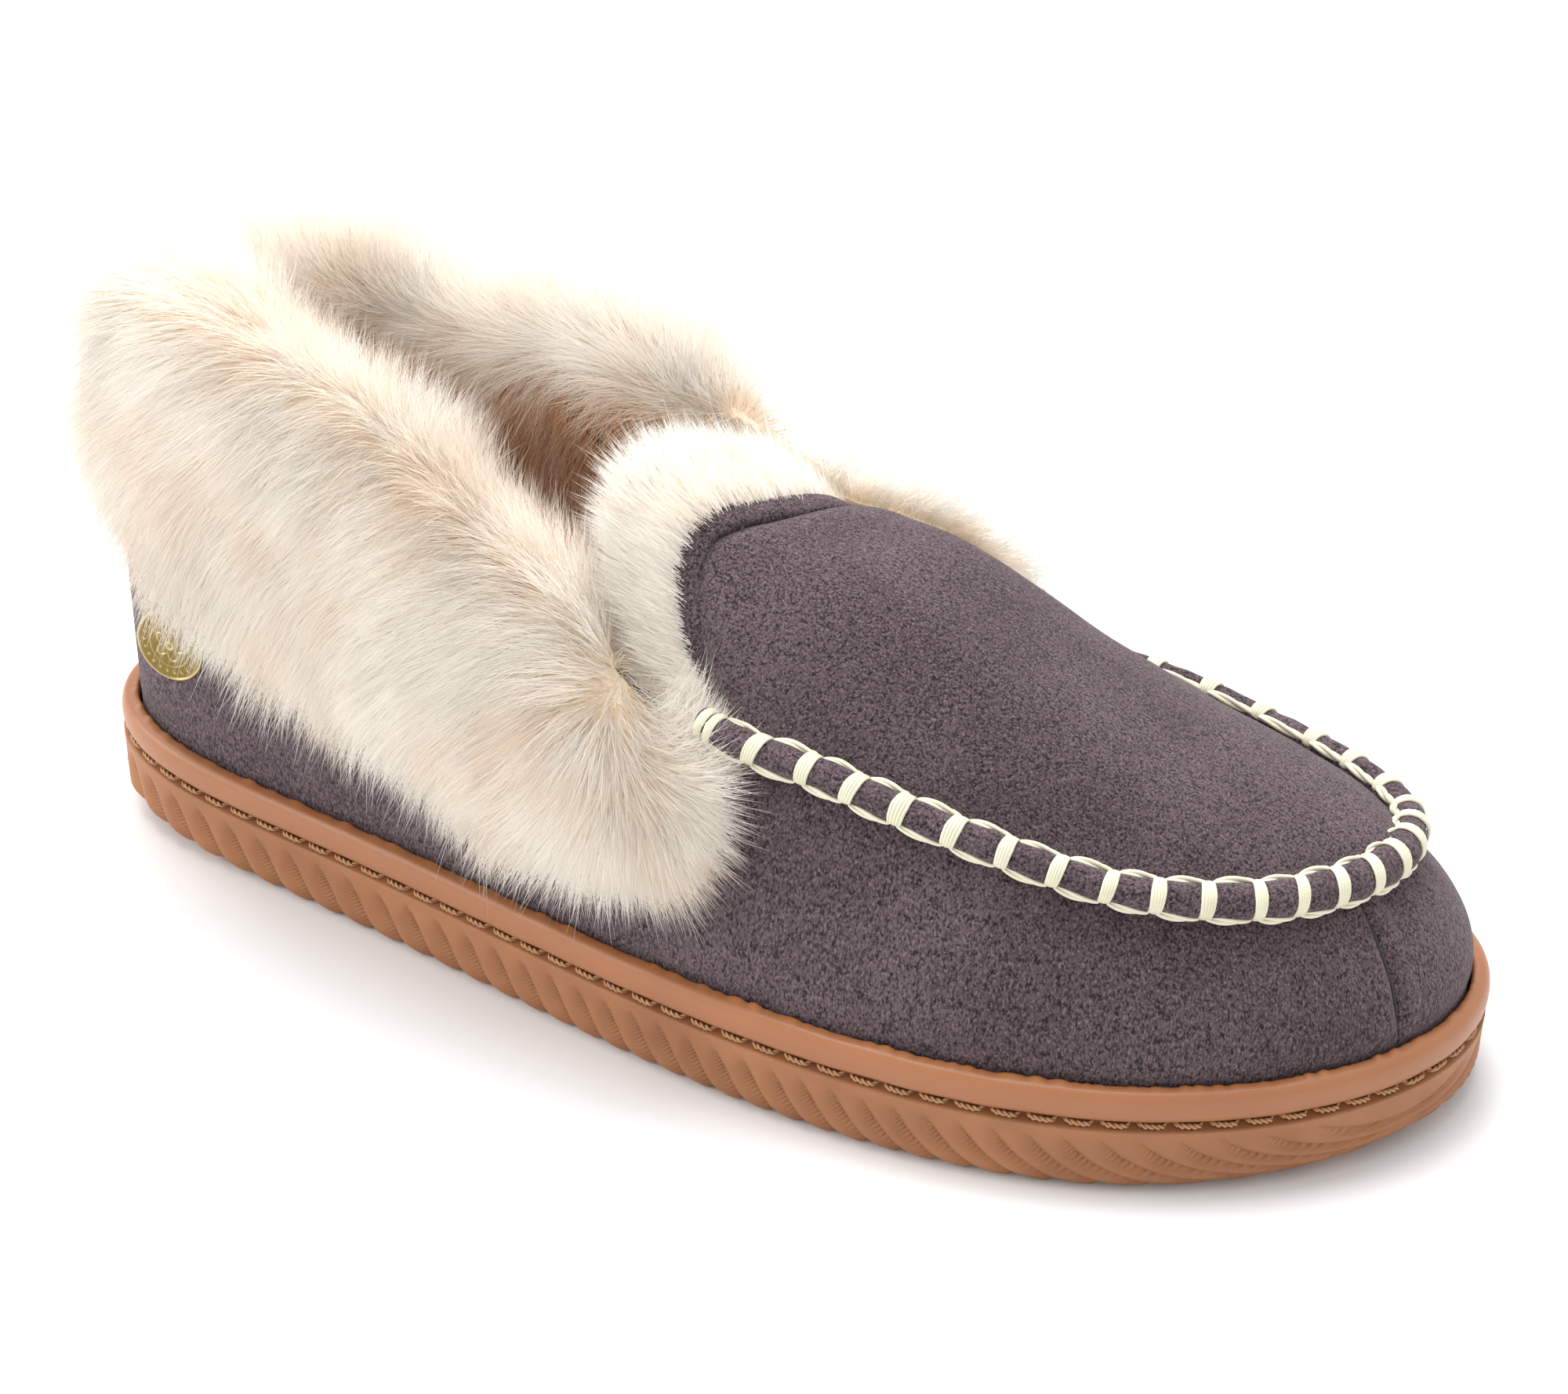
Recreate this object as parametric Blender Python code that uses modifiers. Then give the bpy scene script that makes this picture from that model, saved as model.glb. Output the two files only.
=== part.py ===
"""Moccasin house slipper with a turned-down fur collar, right foot.

Metres, +X to the toe, +Y to the inner (medial) side, +Z up, ground at z = 0. Every piece is
worked out from one foot outline: a place on the slipper is a station along that outline, an
inset from it and a height. The whole slipper is centred over the origin at the end.
"""

import math

import bmesh
import bpy
import numpy as np
from mathutils import Matrix, Vector

# Overall sizes of the sole
SOLE_LENGTH = 0.269
BALL_WIDTH = 0.102
RIM_HEIGHT = 0.0209
HEEL_RISE = 0.0035
HEEL_RISE_RUN = 0.0545
TOE_SPRING = 0.0030
TOE_SPRING_RUN = 0.0645
HEEL_SPRING = 0.0050

# Stations around the outline
STATIONS = 60
GAP = 0.0003
LAYER_GAP = 0.0005
SEAM_GAP = 0.0009

# Outsole tray, rim and channel
RIM_THICKNESS = 0.0037
RIM_DEPTH = 0.0062
TRAY_FLOOR = 0.0075
RIM_ROUNDING = 0.0009
RIM_SHOULDER = 0.0022
RIM_BELLY = 0.0020
CHANNEL_HEIGHT = 0.0016
CHANNEL_LIP = 0.0028
TREAD_INSET = 0.0060
TREAD_TOE_INSET = 0.0300
TREAD_TOE_RUN = 0.0595
SOLE_EDGE_INSET = 0.0025
SOLE_EDGE_ROUNDING = 0.0012
SOLE_THREAD_INSET = 0.0017
SOLE_THREAD_RADIUS = 0.0006

# Layers that the foot stands on
MIDSOLE_THICKNESS = 0.0049
BOARD_THICKNESS = 0.0015
FOOTBED_THICKNESS = 0.0060
SOCK_THICKNESS = 0.0060

# Upper wall, from outside to inside
SUEDE_THICKNESS = 0.0016
STIFFENER_THICKNESS = 0.0012
LINING_THICKNESS = 0.0050
WALL_BULGE = 0.0020
WALL_LEAN = 1.6
EDGE_SETBACK = 0.0020
VAMP_LINING_SETBACK = 0.0045
COUNTER_FRONT_X = -0.072
COUNTER_HEIGHT = 0.060
PUFF_REAR_X = 0.085
TAPE_WIDTH = 0.008
LINING_JOIN_X = -0.012

# Moccasin ridge, its cord and the whipstitch
RIDGE_RADIUS = 0.0033
RIDGE_REAR_X = 0.001
PIPING_SKIN = 0.0009
CORD_CLEARANCE = 0.0004
THREAD_RADIUS = 0.0008
STITCH_COUNT = 30
RIDGE_INSET_LATERAL = 0.0145
RIDGE_INSET_MEDIAL = 0.0165
RIDGE_INSET_TOE = 0.0180
RIDGE_TOE_RUN = 0.0745
QUARTER_INSET = 0.0070
QUARTER_RUN = 0.0500
RIDGE_OPEN_FROM = -75
RIDGE_OPEN_TO = 225
STITCH_ANGLES = (-35, 5, 45, 85, 125)
STITCH_MARGIN = 0.0060

# Apron, its binding and lining
APRON_REAR_MIDDLE_X = -0.008
APRON_REAR_CORNER_X = 0.007
APRON_TOE_CLEARANCE = 0.004
APRON_ARCH_POWER = 2.7
BINDING_PROUD = 0.0004
BINDING_WIDTH = 0.0065
APRON_LINING_THICKNESS = 0.0040
APRON_LINING_LIP = 0.0075
BINDING_THREAD_RADIUS = 0.0003

# Fur collar
COLLAR_THICKNESS = 0.0120
COLLAR_CROWN = 0.0085
COLLAR_INSIDE = 0.0120
COLLAR_FRONT_LATERAL_X = 0.011
COLLAR_FRONT_MEDIAL_X = 0.038
COLLAR_OVER_X = -0.006
COLLAR_OVER_RUN = 0.022
COLLAR_GAP = 0.0008
COLLAR_DROP = 0.0030
COLLAR_END_SHARE = 0.030
# Collar's outer face as (share of its thickness, share of the way from the hem to the top)
COLLAR_FACE = ((0.60, 0.0), (0.95, 0.125), (1.0, 0.5), (0.9, 0.875), (0.45, 1.0))

# Badge on the outer side of the heel
BADGE_RADIUS = 0.0080
BADGE_THICKNESS = 0.0012
BADGE_STANDOFF = 0.0009
BADGE_X = -0.1115
BADGE_HEIGHT = 0.045
SHANK_RADIUS = 0.0011
WASHER_RADIUS = 0.0038
WASHER_THICKNESS = 0.0007

# Outline knots as shares of the length and the ball width, from the toe's front seam over the
# outer side to the heel and back over the inner side
OUTLINE_KNOTS = (
    (0.477, -0.053), (0.434, -0.207), (0.323, -0.408), (0.212, -0.486),
    (0.100, -0.498), (-0.012, -0.468), (-0.160, -0.399), (-0.346, -0.321), (-0.438, -0.268),
    (-0.484, -0.180), (-0.500, -0.055), (-0.490, 0.085), (-0.455, 0.208), (-0.383, 0.292),
    (-0.234, 0.306), (-0.086, 0.309), (0.063, 0.368), (0.212, 0.466), (0.323, 0.500),
    (0.416, 0.459), (0.472, 0.360), (0.496, 0.230), (0.494, 0.060),
)
# Height of the wall's top edge over x: the fold line at the ankle, then the ridge's underside
TOP_X = (-0.135, -0.095, -0.063, -0.040, -0.020, 0.000, 0.030, 0.060, 0.090, 0.135)
TOP_Z = (0.096, 0.104, 0.098, 0.084, 0.0725, 0.063, 0.0600, 0.0550, 0.0485, 0.0440)
# Rise of the apron's crown over its edges
CROWN_X = (-0.020, 0.010, 0.030, 0.045, 0.060, 0.080, 0.100, 0.125)
CROWN_RISE = (0.025, 0.027, 0.025, 0.021, 0.0160, 0.0110, 0.0070, 0.0020)
# Lower edge of the collar over x, on each side
HEM_X = (-0.135, -0.110, -0.080, -0.050, -0.025, 0.000, 0.040)
HEM_LATERAL_Z = (0.068, 0.063, 0.052, 0.038, 0.031, 0.031, 0.036)
HEM_MEDIAL_Z = (0.068, 0.064, 0.056, 0.048, 0.042, 0.038, 0.040)


def smooth_through(x, knots, values):
    """Value at x of a smooth curve through the knots, level outside them."""
    knots = np.asarray(knots)
    values = np.asarray(values)
    slopes = np.gradient(values, knots)
    slopes[0] = slopes[-1] = 0.0
    x = float(np.clip(x, knots[0], knots[-1]))
    i = int(np.clip(np.searchsorted(knots, x) - 1, 0, len(knots) - 2))
    width = knots[i + 1] - knots[i]
    t = (x - knots[i]) / width
    return float(
        values[i] * (2 * t**3 - 3 * t**2 + 1)
        + values[i + 1] * (3 * t**2 - 2 * t**3)
        + width * (slopes[i] * (t**3 - 2 * t**2 + t) + slopes[i + 1] * (t**3 - t**2))
    )


def ramp(value, low, high):
    """0 below low, 1 above high, straight between."""
    return min(max((value - low) / (high - low), 0.0), 1.0)


class Outline:
    """Closed smooth curve through the knots, followed from the front seam.

    Share 0 is the front seam, 0.5 the rearmost point, and 1 the front seam again.
    """

    def __init__(self):
        knots = np.array(OUTLINE_KNOTS) * (SOLE_LENGTH, BALL_WIDTH)
        count = len(knots)
        steps = np.linalg.norm(np.roll(knots, -1, 0) - knots, axis=1)
        # Slopes of a periodic cubic spline
        system = np.zeros((count, count))
        right = np.zeros((count, 2))
        for i in range(count):
            before, after = steps[i - 1], steps[i]
            system[i, i - 1] = after
            system[i, i] = 2 * (before + after)
            system[i, (i + 1) % count] = before
            rise_before = (knots[i] - knots[i - 1]) / before
            rise_after = (knots[(i + 1) % count] - knots[i]) / after
            right[i] = 3 * (after * rise_before + before * rise_after)
        slopes = np.linalg.solve(system, right)
        dense = []
        for i in range(count):
            j = (i + 1) % count
            for t in np.linspace(0, 1, 24, endpoint=False):
                dense.append(
                    knots[i] * (2 * t**3 - 3 * t**2 + 1)
                    + knots[j] * (3 * t**2 - 2 * t**3)
                    + steps[i] * slopes[i] * (t**3 - 2 * t**2 + t)
                    + steps[i] * slopes[j] * (t**3 - t**2)
                )
        self.points = np.array(dense + dense[:1])
        lengths = np.linalg.norm(np.diff(self.points, axis=0), axis=1)
        travelled = np.concatenate([[0], np.cumsum(lengths)])
        to_heel = travelled[self.points[:, 0].argmin()]
        self.share = np.interp(travelled, [0, to_heel, travelled[-1]], [0, 0.5, 1])

    def at(self, u):
        """Point of the outline at share u."""
        u = u % 1.0
        return np.array([np.interp(u, self.share, self.points[:, k]) for k in (0, 1)])

    def normal(self, u):
        """Outward direction at share u."""
        along = self.at(u + 0.004) - self.at(u - 0.004)
        along /= np.linalg.norm(along)
        return np.array([-along[1], along[0]])

    def share_at_x(self, x, medial):
        """Share where the outline's outer or inner side passes x."""
        low, high = (0.5, 1.0) if medial else (0.0, 0.5)
        shares = np.linspace(low, high, 400)
        across = np.array([self.at(u)[0] for u in shares])
        if not medial:
            return float(np.interp(-x, -across, shares))
        return float(np.interp(x, across, shares))


OUTLINE = Outline()
HALF_LENGTH = SOLE_LENGTH / 2
FRONT_SEAM = 0.0
BACK_SEAM = 0.5
GRID = [i / STATIONS for i in range(STATIONS)]


def stations(first, last):
    """Shares from first to last: both ends and the grid's stations between them."""
    inner = [u for u in GRID + [g + 1 for g in GRID] if first + 0.004 < u < last - 0.004]
    return [first] + inner + [last]


def heel_share(x):
    """0 ahead of the heel, rising to 1 at its back."""
    return ramp(-x, HALF_LENGTH - HEEL_RISE_RUN, HALF_LENGTH) ** 2


def rim_top(u):
    """Height of the rim's top at share u."""
    return RIM_HEIGHT + HEEL_RISE * heel_share(OUTLINE.at(u)[0])


def sole_lift(u):
    """Height of the sole's lower edge over the ground."""
    x = OUTLINE.at(u)[0]
    toe = ramp(x, HALF_LENGTH - TOE_SPRING_RUN, HALF_LENGTH) ** 2
    return TOE_SPRING * toe + HEEL_SPRING * heel_share(x)


def wall_top(u):
    """Height of the wall's top edge."""
    return smooth_through(OUTLINE.at(u)[0], TOP_X, TOP_Z)


def top_inset(u):
    """Inset of the wall's top edge: the ridge's line ahead, the fold line behind."""
    x = OUTLINE.at(u)[0]
    inner_side = 0.5 + 0.5 * OUTLINE.normal(u)[1]
    ridge = RIDGE_INSET_LATERAL * (1 - inner_side) + RIDGE_INSET_MEDIAL * inner_side
    toe = ramp(x, HALF_LENGTH - RIDGE_TOE_RUN, HALF_LENGTH) ** 2
    ridge = ridge * (1 - toe) + RIDGE_INSET_TOE * toe
    ankle = ramp(-x, 0.0, QUARTER_RUN)
    return ridge * (1 - ankle) + QUARTER_INSET * ankle


def wall_inset(u, z):
    """Inset of the wall's outer face at height z."""
    low = rim_top(u)
    t = ramp(z, low, wall_top(u))
    base = RIM_THICKNESS + GAP
    lean = (top_inset(u) - base) * t**WALL_LEAN
    return base + lean - WALL_BULGE * 4 * t * (1 - t)


def place(u, inset, z):
    """Point at share u, inset from the outline, at height z."""
    flat = OUTLINE.at(u) - OUTLINE.normal(u) * inset
    return Vector((flat[0], flat[1], z))


def wall_section(u, outer, inner, low, high, rows):
    """Closed section of one wall layer between two depths and two heights."""
    heights = np.linspace(low, high, rows + 1)
    outside = [place(u, wall_inset(u, z) + outer, z) for z in heights]
    inside = [place(u, wall_inset(u, z) + inner, z) for z in heights[::-1]]
    return outside + inside


def material(name, colour, roughness, metallic=0.0):
    """Plain material of one finish."""
    made = bpy.data.materials.new(name)
    made.use_nodes = True
    shader = made.node_tree.nodes["Principled BSDF"]
    shader.inputs["Base Color"].default_value = (*colour, 1.0)
    shader.inputs["Roughness"].default_value = roughness
    shader.inputs["Metallic"].default_value = metallic
    made.diffuse_color = (*colour, 1.0)
    return made


def add_object(name, mesh, finish, collection):
    """Object in a collection, in one material."""
    obj = bpy.data.objects.new(name, mesh)
    collection.objects.link(obj)
    if finish is not None:
        mesh.materials.append(finish)
    return obj


def loft(name, sections, finish, collection, closed=False):
    """Solid through sections of equal point count, capped at its ends unless it closes."""
    form = bmesh.new()
    rows = [[form.verts.new(point) for point in section] for section in sections]
    pairs = list(zip(rows, rows[1:])) + ([(rows[-1], rows[0])] if closed else [])
    for near, far in pairs:
        for i in range(len(near)):
            j = (i + 1) % len(near)
            form.faces.new((near[i], near[j], far[j], far[i]))
    if not closed:
        form.faces.new(rows[0])
        form.faces.new(rows[-1])
    bmesh.ops.recalc_face_normals(form, faces=form.faces)
    mesh = bpy.data.meshes.new(name)
    form.to_mesh(mesh)
    form.free()
    mesh.shade_smooth()
    return add_object(name, mesh, finish, collection)


def layer(name, inset, low, thickness, finish, collection):
    """Flat sheet in the shape of the sole, inset from its outline."""
    rings = [[place(u, inset, z) for u in GRID] for z in (low, low + thickness)]
    return loft(name, rings, finish, collection)


def thread(name, points, radius, finish, collection, cyclic=False, sides=0):
    """Round thread or cord along the points."""
    curve = bpy.data.curves.new(name, "CURVE")
    curve.dimensions = "3D"
    curve.bevel_depth = radius
    curve.bevel_resolution = sides
    curve.use_fill_caps = True
    spline = curve.splines.new("POLY")
    spline.points.add(len(points) - 1)
    for knot, point in zip(spline.points, points):
        knot.co = (*point, 1.0)
    spline.use_cyclic_u = cyclic
    curve.materials.append(finish)
    obj = bpy.data.objects.new(name, curve)
    collection.objects.link(obj)
    return obj


def turned(name, profile, steps, finish, collection):
    """Solid turned about Z from a profile that runs down its outer side."""
    mesh = bpy.data.meshes.new(name)
    edges = [(i, i + 1) for i in range(len(profile) - 1)]
    mesh.from_pydata([(r, 0.0, z) for r, z in profile], edges, [])
    obj = add_object(name, mesh, finish, collection)
    screw = obj.modifiers.new("Turn", "SCREW")
    screw.steps = screw.render_steps = steps
    screw.use_merge_vertices = True
    screw.merge_threshold = 0.00001
    return obj


def cut(obj, cutter):
    """Takes the cutter's shape out of the object."""
    boolean = obj.modifiers.new(cutter.name, "BOOLEAN")
    boolean.operation = "DIFFERENCE"
    boolean.solver = "EXACT"
    boolean.object = cutter


# Sole ---------------------------------------------------------------------------------------

def channel_height(u):
    """Height of the rim's underside, which is the channel's roof."""
    return rim_top(u) - RIM_DEPTH


def make_outsole(finish, collection):
    """Tray with a flat ground face, a side wall and a lip that the rim stands on."""
    def ring(inset, height):
        return [place(u, inset(u), height(u)) for u in GRID]

    def tread_inset(u):
        toe = ramp(OUTLINE.at(u)[0], HALF_LENGTH - TREAD_TOE_RUN, HALF_LENGTH) ** 2
        return TREAD_INSET + TREAD_TOE_INSET * toe

    channel_floor = GAP + CHANNEL_HEIGHT
    rounding = 0.4 * SOLE_EDGE_INSET
    rings = [
        ring(tread_inset, lambda u: 0.0),
        ring(lambda u: SOLE_EDGE_INSET, sole_lift),
        ring(lambda u: rounding, lambda u: sole_lift(u) + SOLE_EDGE_ROUNDING),
        ring(lambda u: 0.2 * rounding, lambda u: 0.5 * (sole_lift(u) + channel_height(u))),
        ring(lambda u: 0.4 * rounding, lambda u: channel_height(u) - channel_floor),
        ring(lambda u: CHANNEL_LIP, lambda u: channel_height(u) - channel_floor),
        ring(lambda u: CHANNEL_LIP, lambda u: channel_height(u) - GAP),
        ring(lambda u: RIM_THICKNESS, lambda u: channel_height(u) - GAP),
        ring(lambda u: RIM_THICKNESS, lambda u: TRAY_FLOOR),
    ]
    return loft("outsole", rings, finish, collection)


def make_rim(finish, collection):
    """Smooth rounded lip around the foot of the upper."""
    profile = (
        (RIM_THICKNESS, -RIM_DEPTH), (RIM_ROUNDING, -RIM_DEPTH), (0.0, RIM_BELLY * 0.85 - RIM_DEPTH),
        (0.0, -RIM_BELLY), (RIM_ROUNDING, -0.2 * RIM_BELLY), (RIM_SHOULDER, 0.0),
        (RIM_THICKNESS, -GAP),
    )
    sections = [[place(u, inset, rim_top(u) + z) for inset, z in profile] for u in GRID]
    return loft("sole_rim", sections, finish, collection, closed=True)


def make_sole_thread(finish, collection):
    """Twisted thread that lies in the channel under the rim."""
    drop = GAP / 2 + CHANNEL_HEIGHT / 2
    points = [place(u, SOLE_THREAD_INSET, channel_height(u) - drop) for u in GRID]
    return thread(
        "sole_stitch_thread", points, SOLE_THREAD_RADIUS, finish, collection, cyclic=True
    )


WALL_FOOT = TRAY_FLOOR + GAP + MIDSOLE_THICKNESS + GAP
LINING_FOOT = WALL_FOOT + BOARD_THICKNESS + GAP
STIFFENER_DEPTH = SUEDE_THICKNESS + LAYER_GAP
LINING_DEPTH = STIFFENER_DEPTH + STIFFENER_THICKNESS + LAYER_GAP
LINING_BACK = LINING_DEPTH + LINING_THICKNESS


def make_bed(finishes, collection):
    """Sheets between the outsole's floor and the foot."""
    base = RIM_THICKNESS + GAP
    layer("midsole_filler", base, TRAY_FLOOR + GAP, MIDSOLE_THICKNESS, finishes["foam"], collection)
    board_inset = base + STIFFENER_DEPTH
    layer("insole_board", board_inset, WALL_FOOT, BOARD_THICKNESS, finishes["board"], collection)
    bed_inset = base + LINING_BACK + GAP
    layer("footbed_foam", bed_inset, LINING_FOOT, FOOTBED_THICKNESS, finishes["foam"], collection)
    sock_foot = LINING_FOOT + FOOTBED_THICKNESS + GAP
    layer("plush_sock", bed_inset, sock_foot, SOCK_THICKNESS, finishes["fur"], collection)


# Upper --------------------------------------------------------------------------------------

def make_panels(finish, collection):
    """Outer and inner side panels, which meet at the toe and at the heel."""
    perimeter = np.linalg.norm(np.diff(OUTLINE.points, axis=0), axis=1).sum()
    half_gap = SEAM_GAP / 2 / perimeter
    spans = {
        "side_panel_outer": (FRONT_SEAM + half_gap, BACK_SEAM - half_gap),
        "side_panel_inner": (BACK_SEAM + half_gap, FRONT_SEAM + 1 - half_gap),
    }
    panels = {}
    for name, (first, last) in spans.items():
        sections = [
            wall_section(u, 0.0, SUEDE_THICKNESS, WALL_FOOT, wall_top(u), 6)
            for u in stations(first, last)
        ]
        panels[name] = loft(name, sections, finish, collection)
    return panels


def make_seam_threads(finish, collection):
    """Thread of the two upright seams, sunk between the panels."""
    for name, u in (("front_seam_thread", FRONT_SEAM), ("back_seam_thread", BACK_SEAM)):
        heights = np.linspace(rim_top(u), wall_top(u) - EDGE_SETBACK, 7)
        depth = SUEDE_THICKNESS / 2
        points = [place(u, wall_inset(u, z) + depth, z) for z in heights]
        thread(name, points, SEAM_GAP / 4, finish, collection)


def make_stiffeners(finish, collection):
    """Heel counter and toe puff behind the suede."""
    outer, inner = STIFFENER_DEPTH, STIFFENER_DEPTH + STIFFENER_THICKNESS
    counter_span = (
        OUTLINE.share_at_x(COUNTER_FRONT_X, False), OUTLINE.share_at_x(COUNTER_FRONT_X, True)
    )
    counter = loft(
        "heel_counter",
        [
            wall_section(u, outer, inner, LINING_FOOT, COUNTER_HEIGHT, 4)
            for u in stations(*counter_span)
        ],
        finish, collection,
    )
    puff_span = (
        OUTLINE.share_at_x(PUFF_REAR_X, True), 1 + OUTLINE.share_at_x(PUFF_REAR_X, False)
    )
    loft(
        "toe_puff",
        [
            wall_section(u, outer, inner, LINING_FOOT, wall_top(u) - EDGE_SETBACK, 4)
            for u in stations(*puff_span)
        ],
        finish, collection,
    )
    return counter


def make_linings(finishes, collection):
    """Fur lining of the ankle, lining of the toe's sides, and the tape at the fold line."""
    outer_join = OUTLINE.share_at_x(LINING_JOIN_X, False)
    inner_join = OUTLINE.share_at_x(LINING_JOIN_X, True)
    step = GAP / SOLE_LENGTH
    quarter = [
        wall_section(u, LINING_DEPTH, LINING_BACK, LINING_FOOT, wall_top(u), 5)
        for u in stations(outer_join + step, inner_join - step)
    ]
    loft("quarter_lining", quarter, finishes["fur"], collection)
    vamp = [
        wall_section(
            u, LINING_DEPTH, LINING_BACK, LINING_FOOT, wall_top(u) - VAMP_LINING_SETBACK, 4
        )
        for u in stations(inner_join, 1 + outer_join)
    ]
    loft("vamp_lining", vamp, finishes["fur"], collection)
    outer, inner = STIFFENER_DEPTH, STIFFENER_DEPTH + STIFFENER_THICKNESS
    tape = [
        wall_section(u, outer, inner, wall_top(u) - TAPE_WIDTH, wall_top(u), 1)
        for u in stations(outer_join, inner_join)
    ]
    loft("topline_tape", tape, finishes["tape"], collection)


# Ridge and whipstitch -----------------------------------------------------------------------

RIDGE_FIRST = OUTLINE.share_at_x(RIDGE_REAR_X, True)
RIDGE_LAST = 1 + OUTLINE.share_at_x(RIDGE_REAR_X, False)
RIDGE_LIFT = RIDGE_RADIUS + GAP


def ridge_point(u, reach, angle):
    """Point around the ridge's axis: angle 0 is outward and 90 is up."""
    turn = math.radians(angle)
    inset = top_inset(u) - reach * math.cos(turn)
    return place(u, inset, wall_top(u) + RIDGE_LIFT + reach * math.sin(turn))


def make_ridge(finishes, collection):
    """Suede strip folded over a cord, along the joint of the apron and the side panels."""
    outer_angles = np.linspace(RIDGE_OPEN_FROM, RIDGE_OPEN_TO, 8)
    bore = RIDGE_RADIUS - PIPING_SKIN
    sections = []
    for u in stations(RIDGE_FIRST, RIDGE_LAST):
        outside = [ridge_point(u, RIDGE_RADIUS, angle) for angle in outer_angles]
        inside = [ridge_point(u, bore, angle) for angle in outer_angles[::-1]]
        sections.append(outside + inside)
    loft("ridge_cover", sections, finishes["suede"], collection)
    flat = 0.5 * math.radians(outer_angles[1] - outer_angles[0])
    cord_radius = bore * math.cos(flat) - CORD_CLEARANCE
    points = [ridge_point(u, 0.0, 0.0) for u in stations(RIDGE_FIRST, RIDGE_LAST)]
    thread("ridge_cord", points, cord_radius, finishes["cord"], collection, sides=1)


def make_whipstitch(finish, collection):
    """One thread that crosses the ridge at each stitch and runs along its foot between them."""
    reach = RIDGE_RADIUS + LAYER_GAP + THREAD_RADIUS
    marks = np.linspace(RIDGE_FIRST + STITCH_MARGIN, RIDGE_LAST - STITCH_MARGIN, STITCH_COUNT)
    points = []
    for i, u in enumerate(marks):
        angles = STITCH_ANGLES if i % 2 == 0 else STITCH_ANGLES[::-1]
        points += [ridge_point(u, reach, angle) for angle in angles]
        if i + 1 < len(marks):
            middle = 0.5 * (u + marks[i + 1])
            points.append(ridge_point(middle, reach, angles[-1]))
    return thread("whipstitch_thread", points, THREAD_RADIUS, finish, collection)


# Apron --------------------------------------------------------------------------------------

def apron_edge(x, medial, depth):
    """Edge of the apron beside the ridge, at a depth under its face."""
    low, high = (RIDGE_FIRST, 1.0) if medial else (0.0, RIDGE_LAST - 1)
    inset_more = RIDGE_RADIUS + LAYER_GAP + depth
    shares = np.linspace(low - 0.08 * medial, high + 0.08 * (not medial), 160)
    edge = np.array([place(u, top_inset(u) + inset_more, 0.0)[:2] for u in shares])
    order = np.argsort(edge[:, 0])
    u = float(np.interp(x, edge[order, 0], shares[order]))
    y = float(np.interp(x, edge[order, 0], edge[order, 1]))
    return y, wall_top(u) + RIDGE_LIFT


def apron_toe_x(depth):
    """Foremost x of the apron at a depth under its face."""
    shares = np.linspace(0.9, 1.05, 60)
    reach = RIDGE_RADIUS + LAYER_GAP + depth
    return max(place(u, top_inset(u) + reach, 0.0)[0] for u in shares) - APRON_TOE_CLEARANCE


def apron_point(along, across, depth, behind=0.0):
    """Point of the apron: along 0 is its rear edge and 1 its toe, across runs -1 to 1."""
    bow = across**2
    rear = APRON_REAR_MIDDLE_X * (1 - bow) + APRON_REAR_CORNER_X * bow - behind
    x = rear + (apron_toe_x(depth) - rear) * along
    outer_y, outer_z = apron_edge(x, False, depth)
    inner_y, inner_z = apron_edge(x, True, depth)
    y = 0.5 * (outer_y + inner_y) + 0.5 * (inner_y - outer_y) * across
    z = 0.5 * (outer_z + inner_z) - 0.3 * depth
    rise = smooth_through(x, CROWN_X, CROWN_RISE) - 0.7 * depth
    return Vector((x, y, z + rise * (1 - abs(across) ** APRON_ARCH_POWER)))


ACROSS = [math.sin(math.radians(a)) for a in np.linspace(-90, 90, 15)]


def apron_sheet(name, first, last, rows, upper, lower, behind, finish, collection):
    """Sheet between two depths of the apron, over a range of its length."""
    sections = []
    for along in np.linspace(first, last, rows):
        top = [apron_point(along, t, upper, behind) for t in ACROSS]
        under = [apron_point(along, t, lower, behind) for t in ACROSS[::-1]]
        sections.append(top + under)
    return loft(name, sections, finish, collection)


def make_apron(finishes, collection):
    """Arched apron with a turned edge, the thread in its crease, and its fur lining."""
    length = apron_toe_x(0.0) - APRON_REAR_MIDDLE_X
    bound = BINDING_WIDTH / length
    crease = 2 * (BINDING_THREAD_RADIUS + LAYER_GAP) / length
    apron_sheet(
        "apron", bound + crease, 1.0, 14, 0.0, SUEDE_THICKNESS, 0.0, finishes["suede"], collection
    )
    apron_sheet(
        "apron_binding", 0.0, bound, 3, -BINDING_PROUD, SUEDE_THICKNESS, 0.0, finishes["suede"],
        collection,
    )
    middle = bound + crease / 2
    points = [apron_point(middle, t, SUEDE_THICKNESS / 2) for t in ACROSS[1:-1]]
    thread("binding_thread", points, BINDING_THREAD_RADIUS, finishes["dark_thread"], collection)
    upper = SUEDE_THICKNESS + 2 * LAYER_GAP
    apron_sheet(
        "apron_lining", 0.0, 0.97, 12, upper, upper + APRON_LINING_THICKNESS, APRON_LINING_LIP,
        finishes["fur"], collection,
    )


# Collar -------------------------------------------------------------------------------------

def hem_height(u):
    """Height of the collar's lower edge."""
    inner_side = 0.5 + 0.5 * OUTLINE.normal(u)[1]
    x = OUTLINE.at(u)[0]
    outer = smooth_through(x, HEM_X, HEM_LATERAL_Z)
    inner = smooth_through(x, HEM_X, HEM_MEDIAL_Z)
    return outer * (1 - inner_side) + inner * inner_side


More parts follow.
